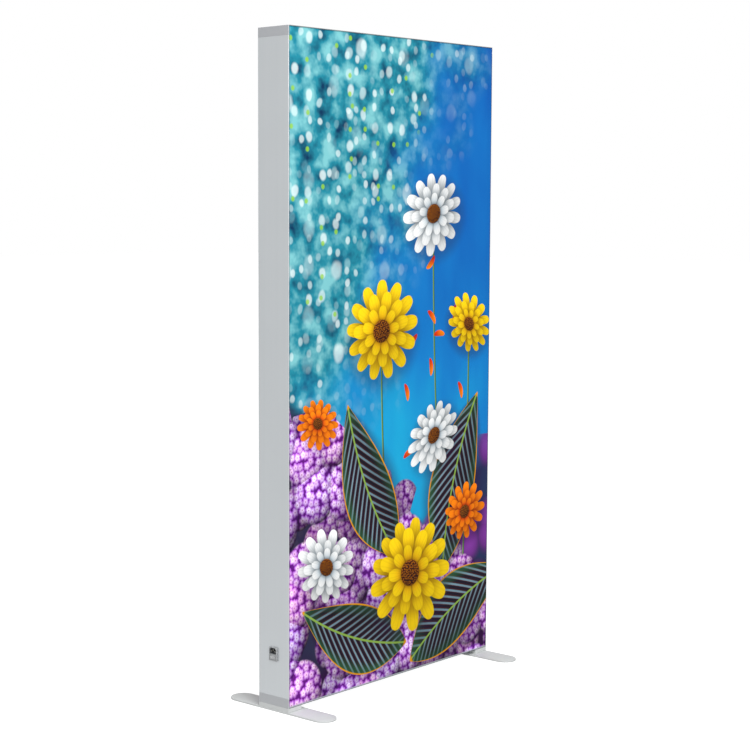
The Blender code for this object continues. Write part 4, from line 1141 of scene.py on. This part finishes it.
def socket_outline(margin):
    """The socket's mouth grown by a margin: a rectangle whose two upper corners are cut off."""
    low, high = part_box("socket_insert")
    half = (high.y - low.y) / 2 - SOCKET_WALL + margin
    middle = (low.z + high.z) / 2
    rise = (high.z - low.z) / 2 - SOCKET_WALL + margin
    lost = SOCKET_CORNER + margin * (2 - math.sqrt(2))
    return [
        (-half, middle - rise),
        (half, middle - rise),
        (half, middle + rise - lost),
        (half - lost, middle + rise),
        (lost - half, middle + rise),
        (-half, middle + rise - lost),
    ]


def inlet_solids(low, high):
    """The flange, and what joins it: the body behind it, and the rims round the socket and the rocker."""
    middle = (low.z + high.z) / 2
    width, height = high.y - low.y, high.z - low.z
    outline = rounded_rectangle((0, middle), width, height, FLANGE_CORNER)
    flange = prism_mesh("inlet_moulding", "X", outline, low.x, low.x + FLANGE_THICKNESS, FLANGE_EDGE)
    body = box_mesh(
        "inlet_body",
        (low.x + FLANGE_THICKNESS - WELD, high.x),
        (BODY_INSET - width / 2, width / 2 - BODY_INSET),
        (low.z + BODY_INSET, high.z - BODY_INSET),
    )
    rim = (low.x - COLLAR_PROUD, low.x + WELD)
    outline = socket_outline(WINDOW_MARGIN + COLLAR_WIDTH)
    collar = prism_mesh("socket_collar", "X", outline, *rim, COLLAR_EDGE)
    sizes = (2 * (WELL_HALF_LENGTH + COLLAR_WIDTH), 2 * (WELL_HALF_WIDTH + COLLAR_WIDTH))
    outline = rounded_rectangle((0, middle_of("rocker_pivot").z), *sizes, COLLAR_WIDTH)
    surround = prism_mesh("rocker_surround", "X", outline, *rim, COLLAR_EDGE)
    return flange, (body, collar, surround)


def inlet_openings(low, high):
    """The socket's window, the rocker's well and the seats of its pivot."""
    axis = middle_of("rocker_pivot")
    front, back = low.x - OVERRUN, high.x + OVERRUN
    window = prism_mesh("socket_window", "X", socket_outline(WINDOW_MARGIN), front, back)
    well = box_mesh(
        "rocker_well",
        (front, axis.x + WELL_FLOOR),
        (-WELL_HALF_LENGTH, WELL_HALF_LENGTH),
        (axis.z - WELL_HALF_WIDTH, axis.z + WELL_HALF_WIDTH),
    )
    reach = WELL_HALF_WIDTH + SEAT_REACH
    ends = (axis.z - reach, axis.z + reach)
    return window, well, rod_mesh("pivot_seats", (axis.x, 0), hole_radius("rocker_pivot"), *ends)


def inlet_mesh():
    """The grey moulding with its openings."""
    low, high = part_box("inlet_housing")
    flange, joined = inlet_solids(low, high)
    tools = [("UNION", mesh) for mesh in joined]
    tools += [("DIFFERENCE", mesh) for mesh in inlet_openings(low, high)]
    return combined(flange, tools)


# Rocker

def rocker_outline():
    """The rocker side-on, as (X from its axis, Y): a shallow V on top, and ends that follow its turn."""
    first, last = math.asin(ROCKER_CREST / ROCKER_RADIUS), -math.asin(ROCKER_SKIRT / ROCKER_RADIUS)
    end = arc((0, 0), ROCKER_RADIUS, first, last - first, ARC_STEPS)
    right = [(up, across) for across, up in end]
    right.append((-ROCKER_HUB, ROCKER_HUB_HALF_WIDTH))
    left = [(up, -across) for up, across in reversed(right)]
    return [(-up, across) for up, across in [(ROCKER_CREASE, 0), *right, *left]]


def rocker_mesh():
    """The rocker, drawn level about its axis, with rounded rims and its bore."""
    half = ROCKER_WIDTH / 2
    reach = half + OVERRUN
    solid = prism_mesh("rocker_button", "Z", rocker_outline(), -half, half, ROCKER_EDGE)
    bore = rod_mesh("rocker_bore", (0, 0), hole_radius("rocker_pivot"), -reach, reach)
    return combined(solid, [("DIFFERENCE", bore)])


def marks_mesh():
    """The on and off marks, a bar and a ring, each laid on its half of the rocker."""
    bar = rounded_rectangle((0, 0), MARK_STROKE, MARK_HEIGHT, MARK_CORNER)
    ring = [circle((0, 0), radius) for radius in (MARK_HEIGHT / 2, MARK_HEIGHT / 2 - MARK_STROKE)]
    shape = bmesh.new()
    for way, loops in ((-1, [bar]), (1, ring)):
        crease = Vector((-ROCKER_CREASE, 0, 0))
        slope = Vector((-math.tan(ROCKER_TILT), way, 0)).normalized()
        outwards = Vector((-math.cos(ROCKER_TILT), way * -math.sin(ROCKER_TILT), 0))
        middle = crease + slope * (ROCKER_HALF_LENGTH * MARK_PLACE_SHARE)
        add_mark(shape, loops, middle, slope, outwards)
    return to_mesh("rocker_marks", shape)


def add_mark(shape, loops, middle, slope, outwards):
    """Adds one raised mark: a filled loop, or the band between two."""
    def place(point, level):
        return middle + slope * point[0] + Vector((0, 0, point[1])) + outwards * level

    levels = (-MARK_THICKNESS / 2, MARK_THICKNESS / 2)
    rings = [[[shape.verts.new(place(p, level)) for p in loop] for level in levels] for loop in loops]
    count = len(loops[0])
    for lower, upper in rings:
        for i in range(count):
            shape.faces.new((lower[i - 1], lower[i], upper[i], upper[i - 1]))
    for level in range(2):
        if len(loops) == 1:
            shape.faces.new(rings[0][level])
            continue
        outer, inner = rings[0][level], rings[1][level]
        for i in range(count):
            shape.faces.new((outer[i - 1], outer[i], inner[i], inner[i - 1]))


def set_at_rest(mesh):
    """Turns a level rocker mesh to its rest tilt and moves it onto its axis."""
    turn = Matrix.Rotation(ROCKER_TILT, 4, "Z")
    mesh.transform(Matrix.Translation(middle_of("rocker_pivot")) @ turn)
    return mesh


# Feet

def foot_mesh(side):
    """A flat bar with round ends and softened rims, sunk from below for its bolts."""
    low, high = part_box(f"foot_plate_{side}")
    radius = (high.x - low.x) / 2
    middle = (low.x + high.x) / 2
    run = high.y - radius
    outline = arc((middle, run), radius, 0, math.pi, HALF_ROUND_STEPS)
    outline += [(2 * middle - x, -y) for x, y in outline]
    plate = prism_mesh(f"{side}_foot_plate", "Z", outline, low.z, high.z, FOOT_EDGE)
    return combined(plate, [("DIFFERENCE", sink_mesh(side, face, high.z)) for face in FACES])


def sink_mesh(side, face, top):
    """A countersunk hole from below."""
    bolt = f"foot_bolt_{side}_{face}"
    centre = middle_of(bolt)
    head, bore = hole_radius(bolt), BOLT_RADIUS + MOULD_GAP
    steps = [(0, -OVERRUN), (head, -OVERRUN), (head, SINK_RIM), (bore, SINK_DEPTH), (bore, top + OVERRUN)]
    return turned_mesh(f"{side}_{face}_sink", (centre.x, centre.y), [*steps, (0, top + OVERRUN)])


# Settings

def colour_property(name, description, default):
    return bpy.props.FloatVectorProperty(
        name=name, description=description, default=default, subtype="COLOR", min=0.0, max=1.0
    )


def number_property(name, description, default, **unit):
    return bpy.props.FloatProperty(name=name, description=description, default=default, **unit)


def length_property(name, description, default):
    return number_property(name, description, default, unit="LENGTH", precision=5)


def angle_property(name, description, degrees):
    return number_property(name, description, math.radians(degrees), unit="ROTATION")


def place_property(name, description, default):
    return bpy.props.FloatVectorProperty(
        name=name, description=description, default=default, subtype="XYZ", size=len(default)
    )


class LIGHTBOX_PG_metal(bpy.types.PropertyGroup):
    """Colours and grain of the metal pieces"""

    aluminium: colour_property("Aluminium", "Anodised profile", (0.474, 0.497, 0.512))
    # painted highlight on the lips beside the fabric, between lip_start and lip_end
    lip_highlight: colour_property("Lip", "Rubbed lips beside the fabric", (0.54, 0.56, 0.58))
    sheet_colour: colour_property("Sheet", "Driver case", (0.62, 0.63, 0.64))
    plate: colour_property("Zinc plate", "Brackets and screws", (0.55, 0.56, 0.57))
    plate_tint: colour_property("Plate tint", "Patches in the zinc plate", (0.62, 0.60, 0.50))
    contact: colour_property("Contacts", "Tinned brass", (0.19, 0.19, 0.185))
    powder_colour: colour_property("Powder coat", "Feet and their blocks", (0.612, 0.630, 0.628))
    # painted shade on the lips along the frame's lowest and highest edges, over the arris height
    painted_edge_shade: colour_property("Grime", "Lowest edge of the frame", (0.10, 0.11, 0.115))
    arris: length_property("Arris", "Height of the dulled lowest edge", 0.0032)
    lip_start: length_property("Lip start", "Depth at which the lip starts to shine", 0.0582)
    lip_end: length_property("Lip end", "Depth at which the lip shines fully", 0.0594)
    die_lines: number_property("Die lines", "Fine lines for each metre across a profile", 900.0)
    die_line_stretch: number_property("Die line stretch", "Scale of the lines along a profile", 0.004)
    die_line_height: length_property("Die line height", "Relief of the lines", 0.00002)
    tone_bands: number_property("Tone bands", "Soft bands for each metre across a profile", 110.0)
    tone_clouds: number_property("Tone clouds", "Soft patches for each metre", 6.0)
    spangle: number_property("Spangle", "Zinc crystals for each metre", 700.0)
    smudges: number_property("Smudges", "Handling marks for each metre", 60.0)
    fine_grain: number_property("Fine grain", "Grains for each metre", 2400.0)
    grain_height: length_property("Grain height", "Relief of the grain", 0.00002)
    peel: number_property("Orange peel", "Bumps in the powder coat for each metre", 700.0)
    peel_height: length_property("Peel height", "Relief of the powder coat", 0.00006)


class LIGHTBOX_PG_plastic(bpy.types.PropertyGroup):
    """Colours and grain of the plastic pieces, the boards and the leads"""

    cap: colour_property("End caps", "Caps on the top and bottom profiles", (0.340, 0.350, 0.367))
    inlet: colour_property("Inlet", "Moulding round the socket", (0.335, 0.346, 0.354))
    socket: colour_property("Socket", "Cup that the connector goes in", (0.140, 0.150, 0.160))
    rocker: colour_property("Rocker", "Switch", (0.372, 0.384, 0.392))
    mark: colour_property("Marks", "On and off marks", (0.58, 0.58, 0.57))
    # painted light: the end caps turn towards this colour near the floor
    dust: colour_property("Dust", "Dust near the floor", (0.62, 0.64, 0.66))
    painted_light_reach: length_property("Dust reach", "Height up to which dust settles", 0.30)
    painted_light_share: number_property("Dust share", "How much the dust covers at the floor", 0.36)
    # painted highlight on the end caps' corners beside the fabric
    painted_cap_highlight: colour_property("Rubbed corners", "Corners of the end caps", (0.60, 0.62, 0.64))
    highlight_start: length_property("Rub start", "Depth at which a corner starts to lighten", 0.0586)
    highlight_end: length_property("Rub end", "Depth at which a corner is lightest", 0.0596)
    highlight_share: number_property("Rub share", "How much the rubbing lightens a corner", 0.5)
    clip: colour_property("Clips", "Lead clips and terminal boot", (0.70, 0.70, 0.69))
    silicone: colour_property("Silicone", "Beads sewn to the fabric", (0.80, 0.80, 0.78))
    sheath: colour_property("Sheath", "Leads", (0.78, 0.78, 0.77))
    mask_white: colour_property("Solder mask", "LED boards", (0.84, 0.85, 0.83))
    track_tone: colour_property("Tracks", "Runs under the solder mask", (0.66, 0.62, 0.50))
    lens_clear: colour_property("Lenses", "Lenses over the LEDs", (0.90, 0.93, 0.95))
    board_green: colour_property("Driver board", "Circuit board", (0.02, 0.16, 0.06))
    board_thickness: length_property("Board thickness", "Circuit boards", 0.0016)
    lens_rise: length_property("Lens rise", "Height over which a lens turns clear", 0.0008)
    track_pitch: number_property("Track pitch", "Radians of the track pattern for each metre", 2600.0)
    track_height: length_property("Track height", "Relief of the tracks", 0.00003)
    mould_grain: number_property("Mould grain", "Grains for each metre", 2000.0)
    fine_grain: number_property("Fine grain", "Finest grains for each metre", 2400.0)
    grain_height: length_property("Grain height", "Relief of the grain", 0.00003)
    flow_marks: number_property("Flow marks", "Soft marks for each metre", 90.0)
    smudges: number_property("Smudges", "Handling marks for each metre", 60.0)
    ripples: number_property("Ripples", "Ripples in the leads for each metre", 260.0)
    ripple_height: length_property("Ripple height", "Relief of the ripples", 0.00015)


class LIGHTBOX_PG_print(bpy.types.PropertyGroup):
    """Inks and motifs of the printed fabric"""

    deep_blue: colour_property("Deep blue", "Darkest part of the backdrop", ink(18, 84, 170))
    mid_blue: colour_property("Mid blue", "Middle of the backdrop", ink(26, 124, 198))
    bright_blue: colour_property("Bright blue", "Brighter part of the backdrop", ink(34, 168, 216))
    pale_cyan: colour_property("Pale cyan", "Palest part of the backdrop", ink(104, 208, 226))
    leaf_shade: colour_property("Foliage shade", "Dark gaps in the foliage", ink(8, 52, 84))
    leaf_teal: colour_property("Foliage", "Foliage out of focus", ink(38, 132, 152))
    leaf_pale: colour_property("Pale foliage", "Foliage in the light", ink(120, 190, 196))
    leaf_light: colour_property("Foliage lights", "Brightest spots", ink(236, 248, 246))
    lime: colour_property("Lime", "Small specks", ink(142, 196, 40))
    head_shade: colour_property("Bank shade", "Gaps between the flower heads", ink(42, 8, 52))
    head_deep: colour_property("Deep purple", "Between the florets", ink(92, 28, 116))
    head_mid: colour_property("Purple", "Rims of the florets", ink(166, 84, 196))
    warm_tint: colour_property("Warm tint", "Pinker flower heads", (1.0, 0.78, 0.92))
    cool_tint: colour_property("Cool tint", "Bluer flower heads", (0.80, 0.82, 1.0))
    head_pale: colour_property("Lilac", "Middles of the florets", ink(232, 188, 240))
    head_white: colour_property("White lilac", "Palest florets", ink(252, 236, 252))
    floret_eye: colour_property("Floret eye", "Eyes of the florets", ink(170, 96, 130))
    petal_yellow: colour_property("Yellow", "Petals' tips", ink(246, 206, 24))
    petal_gold: colour_property("Gold", "Petals' bases and leaf margins", ink(222, 148, 14))
    petal_orange: colour_property("Orange", "Loose petals", ink(246, 128, 20))
    petal_red: colour_property("Red", "Loose petals' shaded ends", ink(214, 46, 20))
    petal_white: colour_property("White", "White petals' tips", ink(238, 240, 240))
    petal_mist: colour_property("Mist", "White petals' bases", ink(150, 172, 186))
    eye_dark: colour_property("Blossom eye", "Seeded middles", ink(46, 14, 16))
    eye_seed: colour_property("Seeds", "Seeds in the middles", ink(168, 98, 22))
    stripe_dark: colour_property("Leaf", "Striped leaves", ink(26, 20, 34))
    stripe_pale: colour_property("Leaf stripes", "Pale stripes on the leaves", ink(112, 138, 152))
    stripe_brown: colour_property("Leaf veins", "Lines beside the stripes", ink(98, 44, 24))
    stripe_green: colour_property("Leaf margin", "Greener part near the leaves' edges", ink(44, 92, 60))
    stem_light: colour_property("Stem", "Lit side of the stems and the leaves' ribs", ink(132, 166, 74))
    stem_dark: colour_property("Stem shade", "Shaded side of the stems", ink(24, 74, 50))
    stem_half_width: length_property("Stem", "Half the width of a stem", 0.0045)
    near_bank: place_property("Near bank", "Slope and middle height of the near heads", (-0.72, -0.40))
    far_bank: place_property("Far bank", "Slope and middle height of the far heads", (0.70, -0.62))
    petal_middle: place_property("Petal middle", "Middle of the loose petals", (0.20, -0.02))
    petal_spread: length_property("Petal spread", "How far the loose petals spread", 0.36)
    petal_length: length_property("Petal length", "Length of a loose petal", 0.058)
    petals_per_metre: number_property("Loose petals", "Loose petals for each metre", 8.0)
    heads: number_property("Flower heads", "Flower heads for each metre", 6.2)
    head_radius: length_property("Flower head", "Radius of a flower head", 0.094)
    florets: number_property("Florets", "Florets for each metre", 42.0)
    floret_radius: length_property("Floret", "Radius of a floret", 0.0150)
    sway: length_property("Sway", "Unevenness of the blurred lights", 0.02)
    stripe_turns: number_property("Stripe turns", "Radians of the stripes in half a leaf", 52.0)
    rib_share: number_property("Rib", "Half a rib's width, as a share of half its leaf's length", 0.016)
    # painted shade along the print's edges, where the fabric turns
    hem: length_property("Hem", "Dim band along the edges, where the fabric turns", 0.0045)
    bare_hem: length_property("Bare hem", "Unprinted band along the lower edge", 0.0046)
    bare_cloth: colour_property("Bare cloth", "Unprinted fabric", ink(176, 184, 188))
    glow_reach: length_property("Glow reach", "Band along the edges that the LED bars light most", 0.30)
    glow: number_property("Glow", "Light that comes through the print", 0.37)
    ink_share: number_property("Ink", "Share of the print's colour in lamp light", 0.62)
    knit: number_property("Knit", "Radians of the knit for each metre", 9000.0)
    knit_height: length_property("Knit height", "Relief of the knit", 0.00005)
    fine_grain: number_property("Fuzz", "Fibres for each metre", 2600.0)


class LIGHTBOX_PG_stage(bpy.types.PropertyGroup):
    """Camera, lamps, floor and background"""

    camera_place: place_property("Camera", "Where the camera stands", (-4.2147, -3.3849, 1.4939))
    camera_azimuth: angle_property("Azimuth", "Way the camera faces, from +Y towards +X", 46.371)
    camera_elevation: angle_property("Elevation", "Tilt of the camera above level", -5.494)
    camera_roll: angle_property("Roll", "Roll of the camera", -0.185)
    camera_lens: number_property("Lens", "Focal length in millimetres", 82.565)
    camera_shift: number_property("Shift", "Sideways shift of the lens, in picture widths", 0.1867)
    background: colour_property("Background", "Colour behind the object", (1.0, 1.0, 1.0))
    floor: colour_property("Floor", "Pale floor", (0.40, 0.40, 0.40))
    floor_glow: number_property("Floor glow", "White added to the floor as it is seen", 0.89)
    floor_size: length_property("Floor size", "Width of the floor", 80.0)
    floor_drop: length_property("Floor drop", "Gap under the feet", 0.0002)
    fill: number_property("Fill", "Light from all round", 0.49)
    key: number_property("Key", "Power of the key lamp in watts", 118.0)
    key_size: length_property("Key size", "Width of the key lamp", 2.2)
    key_place: place_property("Key place", "Where the key lamp hangs", (-1.35, -2.5, 2.9))
    side: number_property("Side", "Power of the side lamp in watts", 98.0)
    side_size: length_property("Side size", "Width of the side lamp", 3.0)
    side_place: place_property("Side place", "Where the side lamp stands", (-5.5, -1.2, 3.0))


# Operators

def dress(material, names):
    """Gives CAD nodes a material, in the slots they came with."""
    for name in names:
        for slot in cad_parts[name].material_slots:
            slot.material = material


def soften(names, width):
    """Rounds the edges of CAD nodes a little, so that they catch the light."""
    for name in names:
        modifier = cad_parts[name].modifiers.new("edge", "BEVEL")
        modifier.width = width
        modifier.segments = SOFT_EDGE_STEPS
        modifier.limit_method = "ANGLE"
        modifier.angle_limit = SOFT_EDGE_ANGLE


class LIGHTBOX_OT_frame(bpy.types.Operator):
    """Finish the profiles, end caps, brackets, screws and crossbar"""

    bl_idname = "lightbox.frame"
    bl_label = "Dress the Frame"

    cap_edge: length_property("Cap edge", "Rounding of the end caps", 0.0006)

    def execute(self, context):
        metal, plastic = context.scene.lightbox_metal, context.scene.lightbox_plastic
        dress(anodised("upright_aluminium", "Z", metal), ("left_profile", "right_profile"))
        dress(anodised("rail_aluminium", "X", metal), ("top_profile", "bottom_profile", "middle_crossbar"))
        caps = node_names(ends="_end_cap")
        dress(moulded("cap_plastic", plastic.cap, plastic, light_paint=cap_painted_light), caps)
        soften(caps, self.cap_edge)
        ends = ("_bracket", "_rail_screw", "_upright_screw")
        fasteners = node_names("crossbar_bracket", "foot_bolt", "rocker_pivot", ends=ends)
        dress(plated("zinc_plate", metal.plate, metal), fasteners)
        return {"FINISHED"}


class LIGHTBOX_OT_fabric(bpy.types.Operator):
    """Stretch the printed fabric over both faces and finish its beads"""

    bl_idname = "lightbox.fabric"
    bl_label = "Stretch the Fabric"

    def execute(self, context):
        material = Print("printed_fabric", context.scene.lightbox_print).finished()
        for face in FACES:
            stretch_fabric(face, material)
        plastic = context.scene.lightbox_plastic
        silicone = moulded("silicone", plastic.silicone, plastic, roughness=SATIN_ROUGHNESS)
        dress(silicone, node_names("front_bead", "back_bead"))
        return {"FINISHED"}


class LIGHTBOX_OT_light(bpy.types.Operator):
    """Finish the LED bars, the driver, the leads and their clips"""

    bl_idname = "lightbox.light"
    bl_label = "Dress the Light"

    def execute(self, context):
        metal, plastic = context.scene.lightbox_metal, context.scene.lightbox_plastic
        dress(led_board("led_board", plastic), node_names("led_bar"))
        dress(driver_board("driver_board", plastic), ["driver_board"])
        dress(sheet_metal("driver_sheet", metal), ["driver_case", "driver_cover"])
        dress(lead_sheath("lead_sheath", plastic), node_names("mains_lead", "led_lead"))
        dress(moulded("clip_plastic", plastic.clip, plastic), node_names("lead_clip", "terminal_boot"))
        return {"FINISHED"}


class LIGHTBOX_OT_inlet(bpy.types.Operator):
    """Mould the power inlet and finish its socket and pins"""

    bl_idname = "lightbox.inlet"
    bl_label = "Mould the Inlet"

    def execute(self, context):
        metal, plastic = context.scene.lightbox_metal, context.scene.lightbox_plastic
        material = moulded("inlet_plastic", plastic.inlet, plastic, roughness=SATIN_ROUGHNESS)
        piece = link("inlet_moulding", inlet_mesh(), FRAME_BODY, material)
        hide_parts("inlet_housing")
        socket = moulded("socket_plastic", plastic.socket, plastic, roughness=GLOSS_ROUGHNESS)
        dress(socket, ["socket_insert"])
        dress(plated("contact_metal", metal.contact, metal), ["line_pin", "neutral_pin", "earth_pin"])
        return {"FINISHED"}


class LIGHTBOX_OT_rocker(bpy.types.Operator):
    """Make the rocker and its on and off marks"""

    bl_idname = "lightbox.rocker"
    bl_label = "Make the Rocker"

    def execute(self, context):
        plastic = context.scene.lightbox_plastic
        material = moulded("rocker_plastic", plastic.rocker, plastic, roughness=GLOSS_ROUGHNESS)
        piece = link("rocker_button", set_at_rest(rocker_mesh()), ROCKER_BODY, material)
        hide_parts("rocker_switch")
        paint = moulded("mark_paint", plastic.mark, plastic, roughness=MARK_ROUGHNESS)
        link("rocker_marks", set_at_rest(marks_mesh()), ROCKER_BODY, paint)
        return {"FINISHED"}


class LIGHTBOX_OT_feet(bpy.types.Operator):
    """Make the foot plates and finish their blocks"""

    bl_idname = "lightbox.feet"
    bl_label = "Make the Feet"

    def execute(self, context):
        material = powder_coat("powder_coat", context.scene.lightbox_metal)
        for side in SIDES:
            piece = link(f"{side}_foot_plate", foot_mesh(side), FRAME_BODY, material)
            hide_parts(f"foot_plate_{side}")
        dress(material, node_names("foot_block"))
        return {"FINISHED"}


class LIGHTBOX_OT_stage(bpy.types.Operator):
    """Set the camera, the lamps, the floor and the white background"""

    bl_idname = "lightbox.stage"
    bl_label = "Set the Stage"

    def execute(self, context):
        look = context.scene.lightbox_stage
        context.scene.view_settings.view_transform = "Standard"
        add_camera(context.scene, look)
        add_lamp("key_lamp", look.key_place, look.key, look.key_size)
        add_lamp("side_lamp", look.side_place, look.side, look.side_size)
        set_background(context.scene, look)
        add_floor(look)
        return {"FINISHED"}


def add_camera(scene, look):
    """A camera that faces along its azimuth and elevation, with a slight roll."""
    azimuth, elevation = look.camera_azimuth, look.camera_elevation
    level = math.cos(elevation)
    ahead = Vector((math.sin(azimuth) * level, math.cos(azimuth) * level, math.sin(elevation)))
    right = ahead.cross(Vector((0, 0, 1))).normalized()
    up = right.cross(ahead)
    turn = Matrix((right, up, -ahead)).transposed().to_4x4() @ Matrix.Rotation(look.camera_roll, 4, "Z")
    camera = add_object("camera", bpy.data.cameras.new("camera"))
    camera.data.lens = look.camera_lens
    camera.data.shift_x = look.camera_shift
    camera.matrix_world = Matrix.Translation(look.camera_place) @ turn
    scene.camera = camera


def add_lamp(name, place, power, size):
    """A square soft lamp that faces the middle of the object."""
    data = bpy.data.lights.new(name, "AREA")
    data.energy = power
    data.size = size
    lamp = add_object(name, data)
    low, high = cad_bounds
    lamp.location = place
    lamp.rotation_euler = ((low + high) / 2 - Vector(place)).to_track_quat("-Z", "Y").to_euler()


def set_background(scene, look):
    """A world that is white to the eye and gives a plain fill."""
    world = bpy.data.worlds.new("studio")
    world.use_nodes = True
    scene.world = world
    tree = Tree(world.node_tree)
    fill = tree.nodes["Background"]
    tree.feed_all(fill, {"Color": look.background, "Strength": look.fill})
    white = tree.node("ShaderNodeBackground", look.background)
    choice = tree.node("ShaderNodeMixShader", tree.seen_directly(), fill.outputs[0], white.outputs[0])
    tree.feed_all(tree.nodes["World Output"], {"Surface": choice.outputs[0]})


def floor_material(look):
    """A pale floor that looks white in the light and keeps the object's shadow."""
    finish = Finish("pale_floor", specular=0.0)
    finish.feed_all(finish.shader, {"Base Color": look.floor, "Roughness": 1.0})
    glow = finish.node("ShaderNodeEmission", look.background, finish.seen_directly() * look.floor_glow)
    total = finish.node("ShaderNodeAddShader", finish.shader.outputs[0], glow.outputs[0])
    finish.feed_all(finish.nodes["Material Output"], {"Surface": total.outputs[0]})
    return finish.material


def add_floor(look):
    shape = bmesh.new()
    bmesh.ops.create_grid(shape, x_segments=1, y_segments=1, size=look.floor_size / 2)
    mesh = bpy.data.meshes.new("floor")
    shape.to_mesh(mesh)
    shape.free()
    mesh.materials.append(floor_material(look))
    floor = add_object("floor", mesh)
    floor.location.z = -look.floor_drop


OPERATORS = (
    LIGHTBOX_OT_frame,
    LIGHTBOX_OT_fabric,
    LIGHTBOX_OT_light,
    LIGHTBOX_OT_inlet,
    LIGHTBOX_OT_rocker,
    LIGHTBOX_OT_feet,
    LIGHTBOX_OT_stage,
)


class LIGHTBOX_PT_panel(bpy.types.Panel):
    """Lists the steps that dress the lightbox"""

    bl_idname = "LIGHTBOX_PT_panel"
    bl_label = "Lightbox Display Wall"
    bl_space_type = "VIEW_3D"
    bl_region_type = "UI"
    bl_category = "Lightbox"

    def draw(self, context):
        for operator in OPERATORS:
            self.layout.operator(operator.bl_idname)


GROUPS = {
    "lightbox_metal": LIGHTBOX_PG_metal,
    "lightbox_plastic": LIGHTBOX_PG_plastic,
    "lightbox_print": LIGHTBOX_PG_print,
    "lightbox_stage": LIGHTBOX_PG_stage,
}


def register():
    for kind in (*GROUPS.values(), *OPERATORS, LIGHTBOX_PT_panel):
        bpy.utils.register_class(kind)
    for name, group in GROUPS.items():
        setattr(bpy.types.Scene, name, bpy.props.PointerProperty(type=group))


def unregister():
    for name in GROUPS:
        delattr(bpy.types.Scene, name)
    for kind in (LIGHTBOX_PT_panel, *reversed(OPERATORS), *reversed(GROUPS.values())):
        bpy.utils.unregister_class(kind)


def main():
    register()
    bpy.ops.lightbox.stage()
    bpy.ops.lightbox.frame()
    bpy.ops.lightbox.fabric()
    bpy.ops.lightbox.light()
    bpy.ops.lightbox.inlet()
    bpy.ops.lightbox.rocker()
    bpy.ops.lightbox.feet()


if __name__ == "__main__":
    main()
